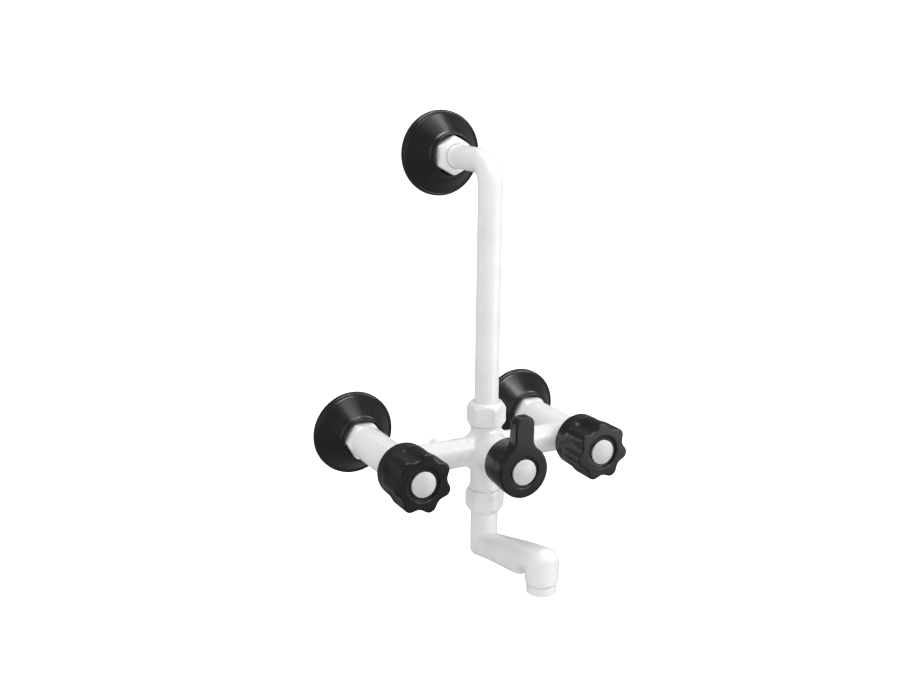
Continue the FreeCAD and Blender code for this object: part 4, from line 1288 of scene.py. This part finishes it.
    def build(self, wardrobe: Wardrobe) -> None:
        """Make the spout in place of its CAD node, as one closed grid down outside and back inside.

        Args:
            wardrobe: Finishes that it is dressed from.
        """
        outside = self.outside()
        rows = Sections.joined([self.neck(), outside, self.mouth(), outside.bored(self.bore_radius)])
        made = piece(self.node + "_moulding", [Patch(rows.points(self.columns), True)])
        wardrobe.settle(made, self.node, self.body, "white_plastic")


@dataclass
class AeratorRing:
    """White screwed ring at the spout's mouth, with a lip inside and soft edges."""

    node: str = "aerator_ring"
    body: str = "spout"
    radius: float = 10.85
    bore: float = 8.4
    lip_bore: float = 7.0
    thread_radius: float = 10.0
    shoulder: float = 6.6
    lip: float = 3.2

    def build(self, wardrobe: Wardrobe) -> None:
        """Make the ring in place of its CAD node, as a closed section turned about the nozzle's axis.

        Args:
            wardrobe: Finishes that it is dressed from.
        """
        bottom, top = node_span(self.node, Axis.UP)
        shoulder = bottom + self.shoulder
        profile = rounded_profile([
            (bottom, self.lip_bore, 0.4), (bottom, self.radius - 0.1, 0.8), (shoulder, self.radius, 0.5),
            (shoulder, self.thread_radius), (top, self.thread_radius, 0.4), (top, self.bore, 0.2),
            (bottom + self.lip, self.bore), (bottom + self.lip, self.lip_bore),
        ])
        made = piece(self.node + "_moulding", [lathe(profile, node_centre(self.node), Axis.UP, 128)])
        wardrobe.settle(made, self.node, self.body, "white_plastic")


# Surroundings


@dataclass
class Studio:
    """Pale floor and world, soft lights, and the camera fitted to the photograph.

    The floor's size and the lights' places and sizes are in metres, unlike the rest.
    """

    eye: tuple[float, float, float] = (-411.9, -796.4, 297.4)
    yaw: float = 27.975
    pitch: float = 14.351
    roll: float = 0.632
    lens: float = 46.27
    sensor: float = 36.0
    floor_drop: float = 330.0
    floor_size: float = 60.0
    floor_cloud: float = 333.0
    floor_glow: float = 0.8
    backdrop: float = 1.05
    surround: float = 0.79
    sheen: float = 0.2
    aim: tuple[float, float, float] = (0.0, -0.08, 0.06)

    def camera(self) -> None:
        """Place the camera: looking along +Y, then tilted down, turned to +X and rolled."""
        data = bpy.data.cameras.new("camera")
        data.lens = self.lens
        data.sensor_width = self.sensor
        data.sensor_fit = "HORIZONTAL"
        data.clip_end = 100.0
        made = bpy.data.objects.new("camera", data)
        turn = (Matrix.Rotation(-math.radians(self.yaw), 4, "Z")
                @ Matrix.Rotation(math.radians(90.0 - self.pitch), 4, "X")
                @ Matrix.Rotation(math.radians(self.roll), 4, "Z"))
        made.matrix_world = Matrix.Translation([value * MM for value in self.eye]) @ turn
        bpy.context.scene.collection.objects.link(made)
        bpy.context.scene.camera = made

    def floor(self) -> None:
        """Pale matt floor well below the tap."""
        low = cad_box[0][2] - self.floor_drop * MM
        half = self.floor_size / 2.0
        mesh = bpy.data.meshes.new("floor")
        mesh.from_pydata([(-half, -half, low), (half, -half, low), (half, half, low), (-half, half, low)], [],
                         [(0, 1, 2, 3)])
        made = bpy.data.objects.new("floor", mesh)
        bpy.context.scene.collection.objects.link(made)
        material, tree, place = fresh_material("pale_matt_paint")
        cloud = add_node(tree, "ShaderNodeTexNoise", inputs={
            "Vector": place, "Scale": per_metre(self.floor_cloud)}).outputs["Fac"]
        base = fade(tree, cloud, (0.3, 0.7), ("FCFCFC", "FFFFFF"))
        shader = add_node(tree, "ShaderNodeBsdfPrincipled", inputs={
            "Base Color": base, "Roughness": 0.9, "Emission Color": (1.0, 1.0, 1.0, 1.0),
            "Emission Strength": self.floor_glow})
        add_node(tree, "ShaderNodeOutputMaterial", inputs={"Surface": shader.outputs["BSDF"]})
        mesh.materials.append(material)
        made.visible_glossy = False
        made.visible_diffuse = False

    def world(self) -> None:
        """White surroundings, with softer light from them on the tap and a dim reflection of them."""
        world = bpy.data.worlds.new("white_surroundings")
        world.use_nodes = True
        tree = world.node_tree
        tree.nodes.clear()
        ray = add_node(tree, "ShaderNodeLightPath")
        light = add_node(tree, "ShaderNodeMapRange", inputs={
            "Value": ray.outputs["Is Glossy Ray"], "To Min": self.surround,
            "To Max": self.sheen}).outputs["Result"]
        glow = add_node(tree, "ShaderNodeMapRange", inputs={
            "Value": ray.outputs["Is Camera Ray"], "To Min": light,
            "To Max": self.backdrop}).outputs["Result"]
        sky = add_node(tree, "ShaderNodeBackground", inputs={"Color": (1.0, 1.0, 1.0, 1.0), "Strength": glow})
        add_node(tree, "ShaderNodeOutputWorld", inputs={"Surface": sky.outputs["Background"]})
        bpy.context.scene.world = world

    def lamp(self, name: str, place: Sequence[float], size: tuple[float, float], power: float,
             diffuse: bool) -> None:
        """Soft rectangular light turned towards the tap, which the camera doesn't see.

        Args:
            name: Name of the light.
            place: Middle of the light, in metres.
            size: Width and height, in metres.
            power: Power in watts.
            diffuse: Whether it lights matt surfaces too, and not only shows in reflections.
        """
        data = bpy.data.lights.new(name, "AREA")
        data.shape = "RECTANGLE"
        data.size, data.size_y = size
        data.energy = power
        made = bpy.data.objects.new(name, data)
        forward = unit(np.array(self.aim) - np.array(place, dtype=float))
        right = unit(np.cross(forward, np.array([0.0, 0.0, 1.0])))
        up = np.cross(right, forward)
        turn = np.eye(4)
        turn[:3, :3] = np.stack([right, up, -forward], axis=1)
        turn[:3, 3] = place
        made.matrix_world = Matrix(turn.tolist())
        made.visible_camera = False
        made.visible_diffuse = diffuse
        bpy.context.scene.collection.objects.link(made)

    def build(self) -> None:
        """Set up the whole studio."""
        bpy.context.scene.view_settings.view_transform = "Standard"
        self.camera()
        self.floor()
        self.world()
        for name, place, size, power, diffuse in (
                ("key", (1.2, -1.1, 1.0), (1.0, 1.0), 16.0, True),
                ("fill", (-1.2, -1.2, 0.4), (1.2, 1.2), 3.0, True),
                ("top", (0.1, 0.3, 1.6), (1.0, 0.6), 6.5, True),
                ("streak", (0.0, -0.75, 1.5), (0.9, 0.6), 13.0, False),
                ("faces", (0.66, -0.83, -0.14), (0.5, 0.36), 0.9, False)):
            self.lamp(name, place, size, power, diffuse)


def build_tap() -> None:
    """Build and dress every piece of the tap."""
    wardrobe = Wardrobe(Finishes())
    wardrobe.dress_cad(frame["record"], frame["nodes"])
    for place in ("left", "right", "top"):
        WallFlange(f"{place}_wall_flange").build(wardrobe)
    for side, lobe_turn in ((Side.LEFT, 9.5), (Side.RIGHT, -2.0)):
        UnionNut(f"{side.value}_union_nut", Axis.OUT, vertex_turn=0.0, lip_at_start=True).build(wardrobe)
        LobedKnob(side, lobe_turn).build(wardrobe)
        DomedCap(f"{side.value}_knob_cap", f"{side.value}_knob", 9.4).build(wardrobe)
    UnionNut("top_union_nut", Axis.OUT).build(wardrobe)
    UnionNut("riser_nut", Axis.UP).build(wardrobe)
    UnionNut("spout_nut", Axis.UP, lip_at_start=True, lip_hole_radius=8.55).build(wardrobe)
    DiverterHandle().build(wardrobe)
    DomedCap("diverter_cap", "diverter", 9.5).build(wardrobe)
    RiserPipe().build(wardrobe)
    Spout().build(wardrobe)
    AeratorRing().build(wardrobe)


def main() -> None:
    """Build the studio and the tap."""
    logging.basicConfig(level=logging.INFO, format="%(name)s: %(message)s")
    Studio().build()
    build_tap()


if __name__ == "__main__":
    main()
